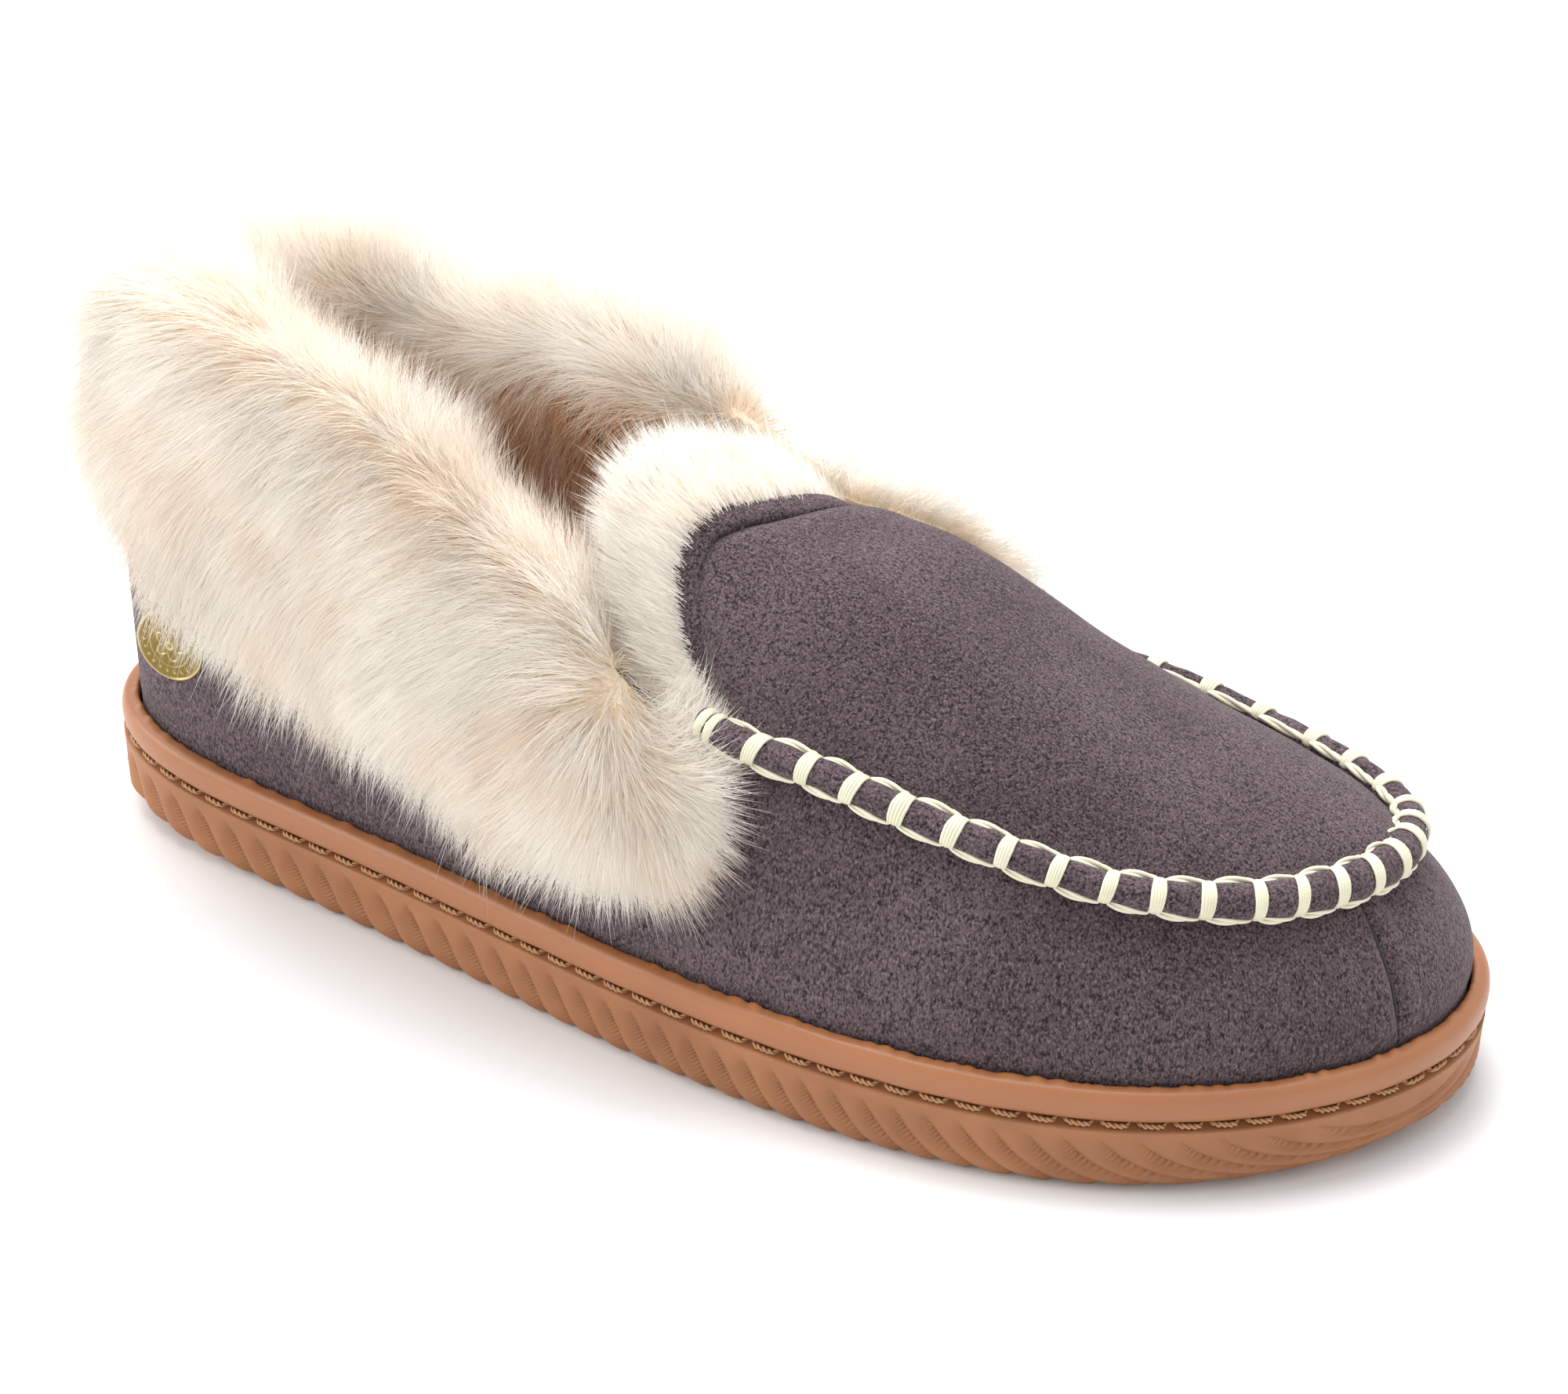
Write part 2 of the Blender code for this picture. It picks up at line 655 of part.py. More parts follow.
def collar_section(u, ends):
    """Section of the collar: up the outside, over the fold line and down the inside."""
    x = OUTLINE.at(u)[0]
    over = ramp(-x, -COLLAR_OVER_X, -COLLAR_OVER_X + COLLAR_OVER_RUN)
    past = ramp(x, COLLAR_OVER_X, COLLAR_OVER_X + COLLAR_GAP + 0.5 * COLLAR_THICKNESS)
    full = math.sqrt(max(1 - ends**2, 0.04))
    low = hem_height(u) + COLLAR_THICKNESS * (1 - full)
    back = wall_top(u) + COLLAR_GAP - COLLAR_DROP * past
    top = back + COLLAR_CROWN * over
    outside = COLLAR_THICKNESS * full
    inside = COLLAR_INSIDE * over - 0.35 * outside * (1 - over)
    section = []
    for share, rise in COLLAR_FACE:
        z = low + (top - low) * rise
        section.append(place(u, wall_inset(u, z) - share * outside, z))
    edge = wall_inset(u, back)
    section += [
        place(u, edge + 0.35 * inside, top), place(u, edge + 0.9 * inside, 0.3 * back + 0.7 * top),
        place(u, edge + inside, back),
    ]
    for z in np.linspace(back, low, 5):
        section.append(place(u, wall_inset(u, z) - COLLAR_GAP, z))
    return section


def make_collar(finish, collection):
    """Fur collar, folded over the ankle's top edge and hanging outside it."""
    first = OUTLINE.share_at_x(COLLAR_FRONT_LATERAL_X, False)
    last = OUTLINE.share_at_x(COLLAR_FRONT_MEDIAL_X, True)
    sections = []
    for u in stations(first, last):
        ends = max(1 - (u - first) / COLLAR_END_SHARE, 1 - (last - u) / COLLAR_END_SHARE, 0.0)
        sections.append(collar_section(u, ends))
    return loft("fur_collar", sections, finish, collection)


# Badge --------------------------------------------------------------------------------------

def make_badge(panel, counter, finishes, collection, cutters):
    """Round badge with a shank through the panel, held by a washer behind it."""
    u = OUTLINE.share_at_x(BADGE_X, False)
    centre = place(u, wall_inset(u, BADGE_HEIGHT), BADGE_HEIGHT)
    above = place(u, wall_inset(u, BADGE_HEIGHT + 0.004), BADGE_HEIGHT + 0.004)
    beside = place(u + 0.004, wall_inset(u + 0.004, BADGE_HEIGHT), BADGE_HEIGHT)
    outward = (above - centre).cross(beside - centre).normalized()
    if outward.dot(Vector((*OUTLINE.normal(u), 0.0))) < 0:
        outward.negate()
    turn = outward.to_track_quat("Z", "Y").to_matrix().to_4x4()
    frame = Matrix.Translation(centre) @ turn
    back = BADGE_STANDOFF
    shank_end = -(SUEDE_THICKNESS + 3 * GAP + WASHER_THICKNESS)
    disc = turned(
        "badge_disc",
        [
            (0.0, back + BADGE_THICKNESS), (0.75 * BADGE_RADIUS, back + BADGE_THICKNESS),
            (0.96 * BADGE_RADIUS, back + 0.8 * BADGE_THICKNESS), (BADGE_RADIUS, back),
            (SHANK_RADIUS, back), (SHANK_RADIUS, shank_end), (0.0, shank_end),
        ],
        20, finishes["brass"], collection,
    )
    washer_top = -(SUEDE_THICKNESS + 1.5 * GAP)
    washer_foot = washer_top - WASHER_THICKNESS
    bore = SHANK_RADIUS + GAP / 3
    washer = turned(
        "badge_washer",
        [(bore, washer_top), (WASHER_RADIUS, washer_top), (WASHER_RADIUS, washer_foot),
         (bore, washer_foot), (bore, washer_top)],
        12, finishes["steel"], collection,
    )
    for obj in (disc, washer):
        obj.matrix_world = frame
    for target, radius in ((panel, SHANK_RADIUS + GAP), (counter, WASHER_RADIUS + 3 * GAP)):
        cutter = turned(
            "cut_" + target.name,
            [(0.0, 0.006), (radius, 0.006), (radius, -0.008), (0.0, -0.008)],
            16, None, cutters,
        )
        cutter.matrix_world = frame
        cutter.hide_render = True
        cutter.display_type = "WIRE"
        cut(target, cutter)


# Assembly -----------------------------------------------------------------------------------

def clear_scene():
    """Removes what the start-up file holds."""
    for obj in list(bpy.data.objects):
        bpy.data.objects.remove(obj)


def make_finishes():
    """The slipper's finishes by name."""
    return {
        "rubber": material("tan_rubber", (0.51, 0.23, 0.11), 0.55),
        "rim": material("tan_rubber_gloss", (0.55, 0.25, 0.13), 0.40),
        "bronze_thread": material("bronze_thread", (0.60, 0.38, 0.22), 0.45),
        "foam": material("foam", (0.75, 0.72, 0.66), 0.9),
        "board": material("fibre_board", (0.55, 0.47, 0.36), 0.9),
        "suede": material("grey_suede", (0.125, 0.095, 0.105), 0.95),
        "fur": material("cream_fur", (0.90, 0.80, 0.66), 0.9),
        "stiffener": material("stiffener", (0.80, 0.78, 0.72), 0.7),
        "tape": material("woven_tape", (0.30, 0.27, 0.28), 0.85),
        "cord": material("cotton_cord", (0.72, 0.70, 0.64), 0.9),
        "ivory_thread": material("ivory_thread", (0.83, 0.80, 0.68), 0.6),
        "dark_thread": material("dark_thread", (0.06, 0.045, 0.05), 0.8),
        "brass": material("pale_brass", (0.72, 0.60, 0.28), 0.3, 1.0),
        "steel": material("steel", (0.60, 0.60, 0.60), 0.35, 1.0),
    }


def centre_on_origin(pieces):
    """Moves every object so that the pieces' common box is centred over the origin."""
    bpy.context.view_layer.update()
    graph = bpy.context.evaluated_depsgraph_get()
    low = np.full(3, np.inf)
    high = np.full(3, -np.inf)
    for obj in pieces:
        evaluated = obj.evaluated_get(graph)
        mesh = evaluated.to_mesh()
        points = np.empty(len(mesh.vertices) * 3, np.float32)
        mesh.vertices.foreach_get("co", points)
        world = np.array(evaluated.matrix_world)
        points = points.reshape(-1, 3) @ world[:3, :3].T + world[:3, 3]
        evaluated.to_mesh_clear()
        low = np.minimum(low, points.min(0))
        high = np.maximum(high, points.max(0))
    middle = 0.5 * (low + high)
    shift = Matrix.Translation((-middle[0], -middle[1], 0.0))
    for obj in bpy.data.objects:
        obj.matrix_world = shift @ obj.matrix_world


def main():
    clear_scene()
    parts = bpy.data.collections.new("house_slipper")
    cutters = bpy.data.collections.new("cutters")
    cutters.hide_render = True
    bpy.context.scene.collection.children.link(parts)
    bpy.context.scene.collection.children.link(cutters)
    finishes = make_finishes()
    make_outsole(finishes["rubber"], parts)
    make_rim(finishes["rim"], parts)
    make_sole_thread(finishes["bronze_thread"], parts)
    make_bed(finishes, parts)
    panels = make_panels(finishes["suede"], parts)
    make_seam_threads(finishes["dark_thread"], parts)
    counter = make_stiffeners(finishes["stiffener"], parts)
    make_linings(finishes, parts)
    make_ridge(finishes, parts)
    make_whipstitch(finishes["ivory_thread"], parts)
    make_apron(finishes, parts)
    make_collar(finishes["fur"], parts)
    make_badge(panels["side_panel_outer"], counter, finishes, parts, cutters)
    centre_on_origin(parts.objects)


main()
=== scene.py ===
"""Finished looks of a moccasin house slipper with a turned-down fur collar, right foot.

Metres, +X to the toe, +Y to the inner side of the foot, +Z up. Every piece follows one last: a
place is a share of the way round the sole's outline, an inset from it and a height.
"""

import logging
import math
from dataclasses import dataclass, field
from enum import Enum

import bmesh
import bpy
import numpy as np
from mathutils import Matrix, Vector


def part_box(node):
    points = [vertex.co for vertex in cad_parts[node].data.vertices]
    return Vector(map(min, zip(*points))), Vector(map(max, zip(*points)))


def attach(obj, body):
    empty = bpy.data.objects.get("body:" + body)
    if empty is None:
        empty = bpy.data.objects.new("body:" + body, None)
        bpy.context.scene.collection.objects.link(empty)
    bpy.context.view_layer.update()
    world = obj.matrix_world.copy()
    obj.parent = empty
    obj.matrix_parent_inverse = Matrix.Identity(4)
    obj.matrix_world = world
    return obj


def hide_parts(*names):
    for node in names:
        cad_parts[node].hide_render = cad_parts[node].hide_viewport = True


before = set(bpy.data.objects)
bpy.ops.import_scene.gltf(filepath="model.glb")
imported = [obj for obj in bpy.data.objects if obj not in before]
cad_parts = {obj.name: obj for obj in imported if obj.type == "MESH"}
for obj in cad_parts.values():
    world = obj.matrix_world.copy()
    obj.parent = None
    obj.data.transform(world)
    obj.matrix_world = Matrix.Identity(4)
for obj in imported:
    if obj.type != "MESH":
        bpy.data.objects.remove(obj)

log = logging.getLogger("slipper")

Array = np.ndarray
Colour = tuple[float, float, float]


class Slot(Enum):
    """Material slot names, one given with each new piece."""

    RUBBER = "tan_rubber"
    RIM = "tan_rubber_gloss"
    BRONZE = "bronze_thread"
    SUEDE = "grey_suede"
    FUR = "cream_fur"
    IVORY = "ivory_thread"
    BRASS = "pale_brass"


def tone(red: int, green: int, blue: int) -> Colour:
    """Linear colour of an 8-bit screen colour."""
    return tuple(
        c / 12.92 if c <= 0.04045 else ((c + 0.055) / 1.055) ** 2.4
        for c in (red / 255, green / 255, blue / 255)
    )


def ramp(value: Array, low: float, high: float) -> Array:
    """0 below low, 1 above high, straight between."""
    return np.clip((np.asarray(value, float) - low) / (high - low), 0.0, 1.0)


def eased(value: Array, low: float, high: float) -> Array:
    """Like ramp, with soft ends."""
    t = ramp(value, low, high)
    return t * t * (3 - 2 * t)


def smooth_through(x: Array, knots: tuple, values: tuple) -> Array:
    """Values at x of a smooth curve through the knots, level outside them."""
    knots, values = np.asarray(knots), np.asarray(values)
    slopes = np.gradient(values, knots)
    slopes[0] = slopes[-1] = 0.0
    x = np.clip(x, knots[0], knots[-1])
    i = np.clip(np.searchsorted(knots, x) - 1, 0, len(knots) - 2)
    width = knots[i + 1] - knots[i]
    t = (x - knots[i]) / width
    rise = slopes[i] * (t**3 - 2 * t**2 + t) + slopes[i + 1] * (t**3 - t**2)
    return values[i] * (2 * t**3 - 3 * t**2 + 1) + values[i + 1] * (3 * t**2 - 2 * t**3) + width * rise


def unit(vectors: Array) -> Array:
    """Vectors scaled to length 1."""
    return vectors / np.maximum(np.linalg.norm(vectors, axis=-1, keepdims=True), 1e-12)


class Ripples:
    """Smooth random field over space, made of waves in random directions."""

    def __init__(self, wavelength: float, seed: int, waves: int = 14) -> None:
        """Draws the waves.

        Args:
            wavelength: usual distance between two crests, in metres.
            seed: start of the random draw.
            waves: how many waves are added.
        """
        draw = np.random.default_rng(seed)
        directions = unit(draw.normal(size=(waves, 3)))
        self.turns = directions * (2 * np.pi / wavelength / draw.uniform(0.7, 1.5, (waves, 1)))
        self.starts = draw.uniform(0, 2 * np.pi, waves)

    def at(self, points: Array) -> Array:
        """Value at each point, mostly between -1 and 1."""
        waves = np.sin(points @ self.turns.T + self.starts)
        return waves.sum(-1) / math.sqrt(2 * len(self.starts))


# The last ------------------------------------------------------------------------------------


@dataclass
class Last:
    """Sizes that all pieces share, and the shape of the slipper worked out from them."""

    sole_length: float = 0.269
    ball_width: float = 0.102
    rim_height: float = 0.0209
    heel_rise: float = 0.0035
    heel_rise_run: float = 0.0545
    toe_spring: float = 0.0030
    toe_spring_run: float = 0.0645
    heel_spring: float = 0.0050
    rim_thickness: float = 0.0037
    rim_depth: float = 0.0062
    gap: float = 0.0003
    layer_gap: float = 0.0005
    suede: float = 0.0016
    stiffener: float = 0.0012
    lining: float = 0.0050
    wall_bulge: float = 0.0020
    wall_lean: float = 1.6
    ridge_radius: float = 0.0033
    ridge_rear_x: float = 0.001
    ridge_inset_outer: float = 0.0145
    ridge_inset_inner: float = 0.0165
    ridge_inset_toe: float = 0.0180
    ridge_toe_run: float = 0.0745
    quarter_inset: float = 0.0070
    quarter_run: float = 0.0500
    lining_join_x: float = -0.012
    # Shares of the length and the ball width, from the front seam over the outer side
    outline: tuple = (
        (0.477, -0.053), (0.434, -0.207), (0.323, -0.408), (0.212, -0.486),
        (0.100, -0.498), (-0.012, -0.468), (-0.160, -0.399), (-0.346, -0.321), (-0.438, -0.268),
        (-0.484, -0.180), (-0.500, -0.055), (-0.490, 0.085), (-0.455, 0.208), (-0.383, 0.292),
        (-0.234, 0.306), (-0.086, 0.309), (0.063, 0.368), (0.212, 0.466), (0.323, 0.500),
        (0.416, 0.459), (0.472, 0.360), (0.496, 0.230), (0.494, 0.060),
    )
    top_x: tuple = (-0.135, -0.095, -0.063, -0.040, -0.020, 0.0, 0.030, 0.060, 0.090, 0.135)
    top_z: tuple = (
        0.096, 0.104, 0.098, 0.084, 0.0725, 0.063, 0.0600, 0.0550, 0.0485, 0.0440,
    )
    hem_x: tuple = (-0.135, -0.110, -0.080, -0.050, -0.025, 0.0, 0.040)
    hem_outer_z: tuple = (0.068, 0.063, 0.052, 0.038, 0.031, 0.031, 0.036)
    hem_inner_z: tuple = (0.068, 0.064, 0.056, 0.048, 0.042, 0.038, 0.040)
    shift: Array = field(default_factory=lambda: np.zeros(2))

    def __post_init__(self) -> None:
        """Draws the outline, then moves it so that it meets the frame's rim."""
        knots = np.array(self.outline) * (self.sole_length, self.ball_width)
        steps = np.linalg.norm(np.roll(knots, -1, 0) - knots, axis=1)
        slopes = self._spline_slopes(knots, steps)
        t = np.linspace(0, 1, 24, endpoint=False)[:, None]
        dense = []
        for i, knot in enumerate(knots):
            j = (i + 1) % len(knots)
            dense.append(
                knot * (2 * t**3 - 3 * t**2 + 1) + knots[j] * (3 * t**2 - 2 * t**3)
                + steps[i] * slopes[i] * (t**3 - 2 * t**2 + t) + steps[i] * slopes[j] * (t**3 - t**2)
            )
        self.points = np.concatenate(dense + [knots[:1]])
        pieces = np.linalg.norm(np.diff(self.points, axis=0), axis=1)
        travelled = np.concatenate([[0], np.cumsum(pieces)])
        to_heel = travelled[self.points[:, 0].argmin()]
        self.side_lengths = (to_heel, travelled[-1] - to_heel)
        self.share = np.interp(travelled, [0, to_heel, travelled[-1]], [0, 0.5, 1])
        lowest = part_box("sole_rim")[0]
        stations = self._flat(np.arange(60) / 60)
        self.shift = np.array(lowest[:2]) - stations.min(0)
        self.ridge_first = self.share_at_x(self.ridge_rear_x, True)
        self.ridge_last = 1 + self.share_at_x(self.ridge_rear_x, False)
        self.ridge_lift = self.ridge_radius + self.gap
        self.lining_face = self.suede + self.stiffener + self.lining + 2 * self.layer_gap

    @staticmethod
    def _spline_slopes(knots: Array, steps: Array) -> Array:
        """Slopes of a closed cubic spline through the knots."""
        count = len(knots)
        system = np.zeros((count, count))
        right = np.zeros((count, 2))
        for i in range(count):
            before, after, j = steps[i - 1], steps[i], (i + 1) % count
            system[i, i - 1], system[i, i], system[i, j] = after, 2 * (before + after), before
            rises = after * (knots[i] - knots[i - 1]) / before, before * (knots[j] - knots[i]) / after
            right[i] = 3 * (rises[0] + rises[1])
        return np.linalg.solve(system, right)

    def _flat(self, u: Array) -> Array:
        """Outline point at share u, before the shift."""
        u = np.mod(u, 1.0)
        return np.stack([np.interp(u, self.share, self.points[:, k]) for k in (0, 1)], -1)

    def x(self, u: Array) -> Array:
        """Distance ahead of the sole's middle at share u."""
        return self._flat(u)[..., 0]

    def outward(self, u: Array) -> Array:
        """Outward direction at share u, in the plane."""
        along = unit(self._flat(np.asarray(u) + 0.004) - self._flat(np.asarray(u) - 0.004))
        return np.stack([-along[..., 1], along[..., 0]], -1)

    def share_at_x(self, x: float, inner: bool) -> float:
        """Share where the outer or inner side passes x."""
        shares = np.linspace(0.5, 1.0, 400) if inner else np.linspace(0.0, 0.5, 400)
        across = self.x(shares)
        return float(np.interp(x, across, shares) if inner else np.interp(-x, -across, shares))

    def from_toe(self, u: Array) -> Array:
        """Distance along the outline from the front seam, on whichever side u is."""
        u = np.mod(u, 1.0)
        outer, inner = self.side_lengths
        return np.where(u < 0.5, u * 2 * outer, (1 - u) * 2 * inner)

    def share_from_toe(self, distance: float, inner: bool) -> float:
        """Share at a distance along the outline from the front seam."""
        outer_length, inner_length = self.side_lengths
        return 1 - distance / inner_length / 2 if inner else distance / outer_length / 2

    def place(self, u: Array, inset: Array, z: Array) -> Array:
        """Points at share u, inset from the outline, at height z."""
        u, inset, z = np.broadcast_arrays(u, inset, z)
        flat = self._flat(u) + self.shift - self.outward(u) * inset[..., None]
        return np.concatenate([flat, z[..., None]], -1)

    def heel_share(self, x: Array) -> Array:
        """0 ahead of the heel, rising to 1 at its back."""
        half = self.sole_length / 2
        return ramp(-x, half - self.heel_rise_run, half) ** 2

    def rim_top(self, u: Array) -> Array:
        """Height of the rim's top."""
        return self.rim_height + self.heel_rise * self.heel_share(self.x(u))

    def channel(self, u: Array) -> Array:
        """Height of the rim's underside."""
        return self.rim_top(u) - self.rim_depth

    def sole_lift(self, u: Array) -> Array:
        """Height of the sole's lower edge over the ground."""
        x, half = self.x(u), self.sole_length / 2
        toe = ramp(x, half - self.toe_spring_run, half) ** 2
        return self.toe_spring * toe + self.heel_spring * self.heel_share(x)

    def wall_top(self, u: Array) -> Array:
        """Height of the wall's top edge: the fold line behind, the ridge's underside ahead."""
        return smooth_through(self.x(u), self.top_x, self.top_z)

    def inner_side(self, u: Array) -> Array:
        """1 where the outline faces the inner side, 0 where it faces the outer side."""
        return 0.5 + 0.5 * self.outward(u)[..., 1]

    def top_inset(self, u: Array) -> Array:
        """Inset of the wall's top edge."""
        x, side, half = self.x(u), self.inner_side(u), self.sole_length / 2
        ridge = self.ridge_inset_outer * (1 - side) + self.ridge_inset_inner * side
        toe = ramp(x, half - self.ridge_toe_run, half) ** 2
        ridge = ridge * (1 - toe) + self.ridge_inset_toe * toe
        ankle = ramp(-x, 0.0, self.quarter_run)
        return ridge * (1 - ankle) + self.quarter_inset * ankle

    def wall_inset(self, u: Array, z: Array) -> Array:
        """Inset of the wall's outer face at height z."""
        low, top = self.rim_top(u), self.wall_top(u)
        t = np.clip((z - low) / (top - low), 0.0, 1.0)
        base = self.rim_thickness + self.gap
        return base + (self.top_inset(u) - base) * t**self.wall_lean - self.wall_bulge * 4 * t * (1 - t)

    def ridge_point(self, u: Array, reach: Array, angle: Array) -> Array:
        """Point around the ridge's axis: angle 0 is outward and 90 is up, in degrees."""
        turn = np.radians(angle)
        inset = self.top_inset(u) - reach * np.cos(turn)
        return self.place(u, inset, self.wall_top(u) + self.ridge_lift + reach * np.sin(turn))

    def toe_plump(self, u: Array) -> Array:
        """How much thicker the ridge is round the toe."""
        return 1 + 0.22 * eased(self.x(u), 0.080, 0.118)

    def hem(self, u: Array) -> Array:
        """Height of the collar's lower edge."""
        x, side = self.x(u), self.inner_side(u)
        outer = smooth_through(x, self.hem_x, self.hem_outer_z)
        return outer * (1 - side) + smooth_through(x, self.hem_x, self.hem_inner_z) * side


# Materials -----------------------------------------------------------------------------------


class Wire:
    """A value in a material's maths: Python's operators add Math nodes."""

    def __init__(self, bench: "Bench", socket: bpy.types.NodeSocket) -> None:
        """Wraps an output socket of the bench's material."""
        self.bench, self.socket = bench, socket

    def _maths(self, operation: str, first: object, second: object = 0.0) -> "Wire":
        """Math node on two values."""
        return self.bench.node("ShaderNodeMath", {"operation": operation}, {0: first, 1: second})

    def __add__(self, other: object) -> "Wire":
        """Sum."""
        return self._maths("ADD", self, other)

    def __sub__(self, other: object) -> "Wire":
        """Difference."""
        return self._maths("SUBTRACT", self, other)

    def __rsub__(self, other: object) -> "Wire":
        """Difference, with this value second."""
        return self._maths("SUBTRACT", other, self)

    def __mul__(self, other: object) -> "Wire":
        """Product."""
        return self._maths("MULTIPLY", self, other)

    def __pow__(self, other: object) -> "Wire":
        """Power."""
        return self._maths("POWER", self, other)

    __radd__ = __add__
    __rmul__ = __mul__

    def sine(self) -> "Wire":
        """Sine, in radians."""
        return self._maths("SINE", self)


class Bench:
    """Builds one material's nodes round its Principled shader."""

    def __init__(self, name: str) -> None:
        """Starts a material with that name."""
        self.material = bpy.data.materials.new(name)
        self.material.use_nodes = True
        self.tree = self.material.node_tree
        self.shader = self.tree.nodes["Principled BSDF"]

    def node(self, kind: str, settings: dict, sockets: dict, output: object = 0) -> Wire:
        """Adds a node.

        Args:
            kind: the node's type.
            settings: its own settings; "stops" are a colour ramp's (place, colour) pairs.
            sockets: values or wires by input name or number.
            output: name or number of the output to return.

        Returns:
            The chosen output.
        """
        made = self.tree.nodes.new(kind)
        for key, value in settings.items():
            if key == "stops":
                ends = made.color_ramp.elements
                while len(ends) < len(value):
                    ends.new(1.0)
                for end, (at, colour) in zip(ends, value):
                    end.position, end.color = at, (*colour, 1.0)
            else:
                setattr(made, key, value)
        for key, value in sockets.items():
            self.feed(made.inputs[key], value)
        return Wire(self, made.outputs[output])

    def feed(self, socket: bpy.types.NodeSocket, value: object) -> None:
        """Links a wire to an input, or sets the input to a plain value."""
        if isinstance(value, Wire):
            self.tree.links.new(value.socket, socket)
        elif isinstance(value, tuple) and len(value) == 3 and socket.type == "RGBA":
            socket.default_value = (*value, 1.0)
        else:
            socket.default_value = value

    def own_place(self) -> Wire:
        """Object coordinates."""
        return self.node("ShaderNodeTexCoord", {}, {}, "Object")

    def own_map(self) -> Wire:
        """The piece's own UV map."""
        return self.node("ShaderNodeTexCoord", {}, {}, "UV")

    def stretched(self, vector: Wire, scale: tuple) -> Wire:
        """Coordinates scaled along each axis."""
        return self.node("ShaderNodeMapping", {}, {"Vector": vector, "Scale": scale})

    def noise(self, vector: Wire, scale: float, detail: float = 2.0, rough: float = 0.5) -> Wire:
        """Noise from 0 to 1."""
        sockets = {"Vector": vector, "Scale": scale, "Detail": detail, "Roughness": rough}
        return self.node("ShaderNodeTexNoise", {}, sockets, 0)

    def attribute(self, name: str) -> Wire:
        """A value stored on the mesh."""
        return self.node("ShaderNodeAttribute", {"attribute_name": name}, {}, "Fac")

    def between(self, value: Wire, low: float, high: float) -> Wire:
        """The value's place between low and high, held within 0 and 1."""
        sockets = {"Value": value, "From Min": low, "From Max": high}
        return self.node("ShaderNodeMapRange", {"clamp": True}, sockets)

    def mix(self, share: object, first: object, second: object) -> Wire:
        """Colour between first and second."""
        sockets = {0: share, 6: first, 7: second}
        return self.node("ShaderNodeMix", {"data_type": "RGBA"}, sockets, 2)

    def bump(self, height: Wire, distance: float, strength: float = 1.0) -> Wire:
        """Normal of a surface raised by height times distance."""
        sockets = {"Height": height, "Distance": distance, "Strength": strength}
        return self.node("ShaderNodeBump", {}, sockets)

    def dress(self, **sockets: object) -> bpy.types.Material:
        """Sets the shader's inputs, named with underscores, and returns the material."""
        for name, value in sockets.items():
            self.feed(self.shader.inputs[name.replace("_", " ")], value)
        return self.material


@dataclass(frozen=True)
class Suede:
    """Brushed microsuede: soft patches where the nap lies either way, and a fine grain with painted shade in
    its pits.
    """

    name: str
    deep: Colour = tone(68, 54, 58)
    mid: Colour = tone(90, 75, 80)
    light: Colour = tone(106, 92, 97)
    grain_stretch: tuple = (1.0, 1.0, 1.0)
    patch: float = 30.0
    grain: float = 2300.0
    sheen: float = 0.3

    def material(self) -> bpy.types.Material:
        """Makes the material."""
        bench = Bench(self.name)
        place = bench.own_place()
        warped = bench.stretched(place, self.grain_stretch)
        nap = bench.noise(place, self.patch, 3.0, 0.55)
        grain = bench.noise(warped, self.grain, 2.0, 0.7)
        coarse = bench.noise(warped, self.grain * 0.5, 2.0, 0.6)
        brushed = bench.mix(bench.between(nap, 0.34, 0.66), self.deep, self.light)
        body = bench.mix(0.55, brushed, self.mid)
        # Painted shade: the grain's low pits are darkened almost to black.
        pits = bench.between(grain * 0.6 + coarse * 0.4, 0.36, 0.54)
        speckled = bench.mix(pits, tuple(0.22 * c for c in self.deep), body)
        glints = bench.between(grain, 0.56, 0.72)
        colour = bench.mix(glints * 0.75, speckled, tuple(1.7 * c for c in self.light))
        height = grain * 0.5 + coarse * 0.5
        return bench.dress(
            Base_Color=colour, Roughness=0.95, Specular_IOR_Level=0.25, Sheen_Weight=self.sheen,
            Sheen_Roughness=0.45, Sheen_Tint=(*tone(200, 186, 190), 1.0),
            Normal=bench.bump(height, 0.0006, 0.9),
        )


@dataclass(frozen=True)
class Rubber:
    """Moulded rubber with a faint grain, fine hatching where the mesh marks a valley, and painted shade in
    the deeper valleys.
    """

    name: str
    colour: Colour = tone(164, 109, 70)
    shade: Colour = tone(112, 66, 38)
    roughness: float = 0.55
    coat: float = 0.0
    hatched: bool = False
    hatch_pitch: float = 0.00062

    def material(self) -> bpy.types.Material:
        """Makes the material."""
        bench = Bench(self.name)
        place = bench.own_place()
        patches = bench.noise(place, 60.0, 3.0)
        grain = bench.noise(place, 2200.0, 2.0, 0.6)
        colour = bench.mix(bench.between(patches, 0.3, 0.75) * 0.45, self.colour, self.shade)
        height = grain * 0.25
        if self.hatched:
            valley = bench.attribute("valley")
            along = bench.attribute("hatch")
            ticks = (along * (2 * math.pi / self.hatch_pitch)).sine() * 0.5 + 0.5
            strength = bench.between(valley, 0.15, 0.6) * bench.between(patches, 0.2, 0.5)
            colour = bench.mix(strength * ticks * 0.6, colour, tone(204, 152, 106))
            # Painted shade: the deeper valleys between ribs are darkened towards the shade colour.
            colour = bench.mix(bench.between(valley, 0.45, 1.0) * 0.55, colour, self.shade)
            height = height + strength * ticks
        else:
            flash = bench.attribute("flash")
            colour = bench.mix(flash * 0.8, colour, tone(176, 108, 52))
        rough = bench.between(grain, 0.2, 0.8) * 0.12 + (self.roughness - 0.06)
        return bench.dress(
            Base_Color=colour, Roughness=rough, Coat_Weight=self.coat, Coat_Roughness=0.35,
            Normal=bench.bump(height, 0.00018, 0.7),
        )


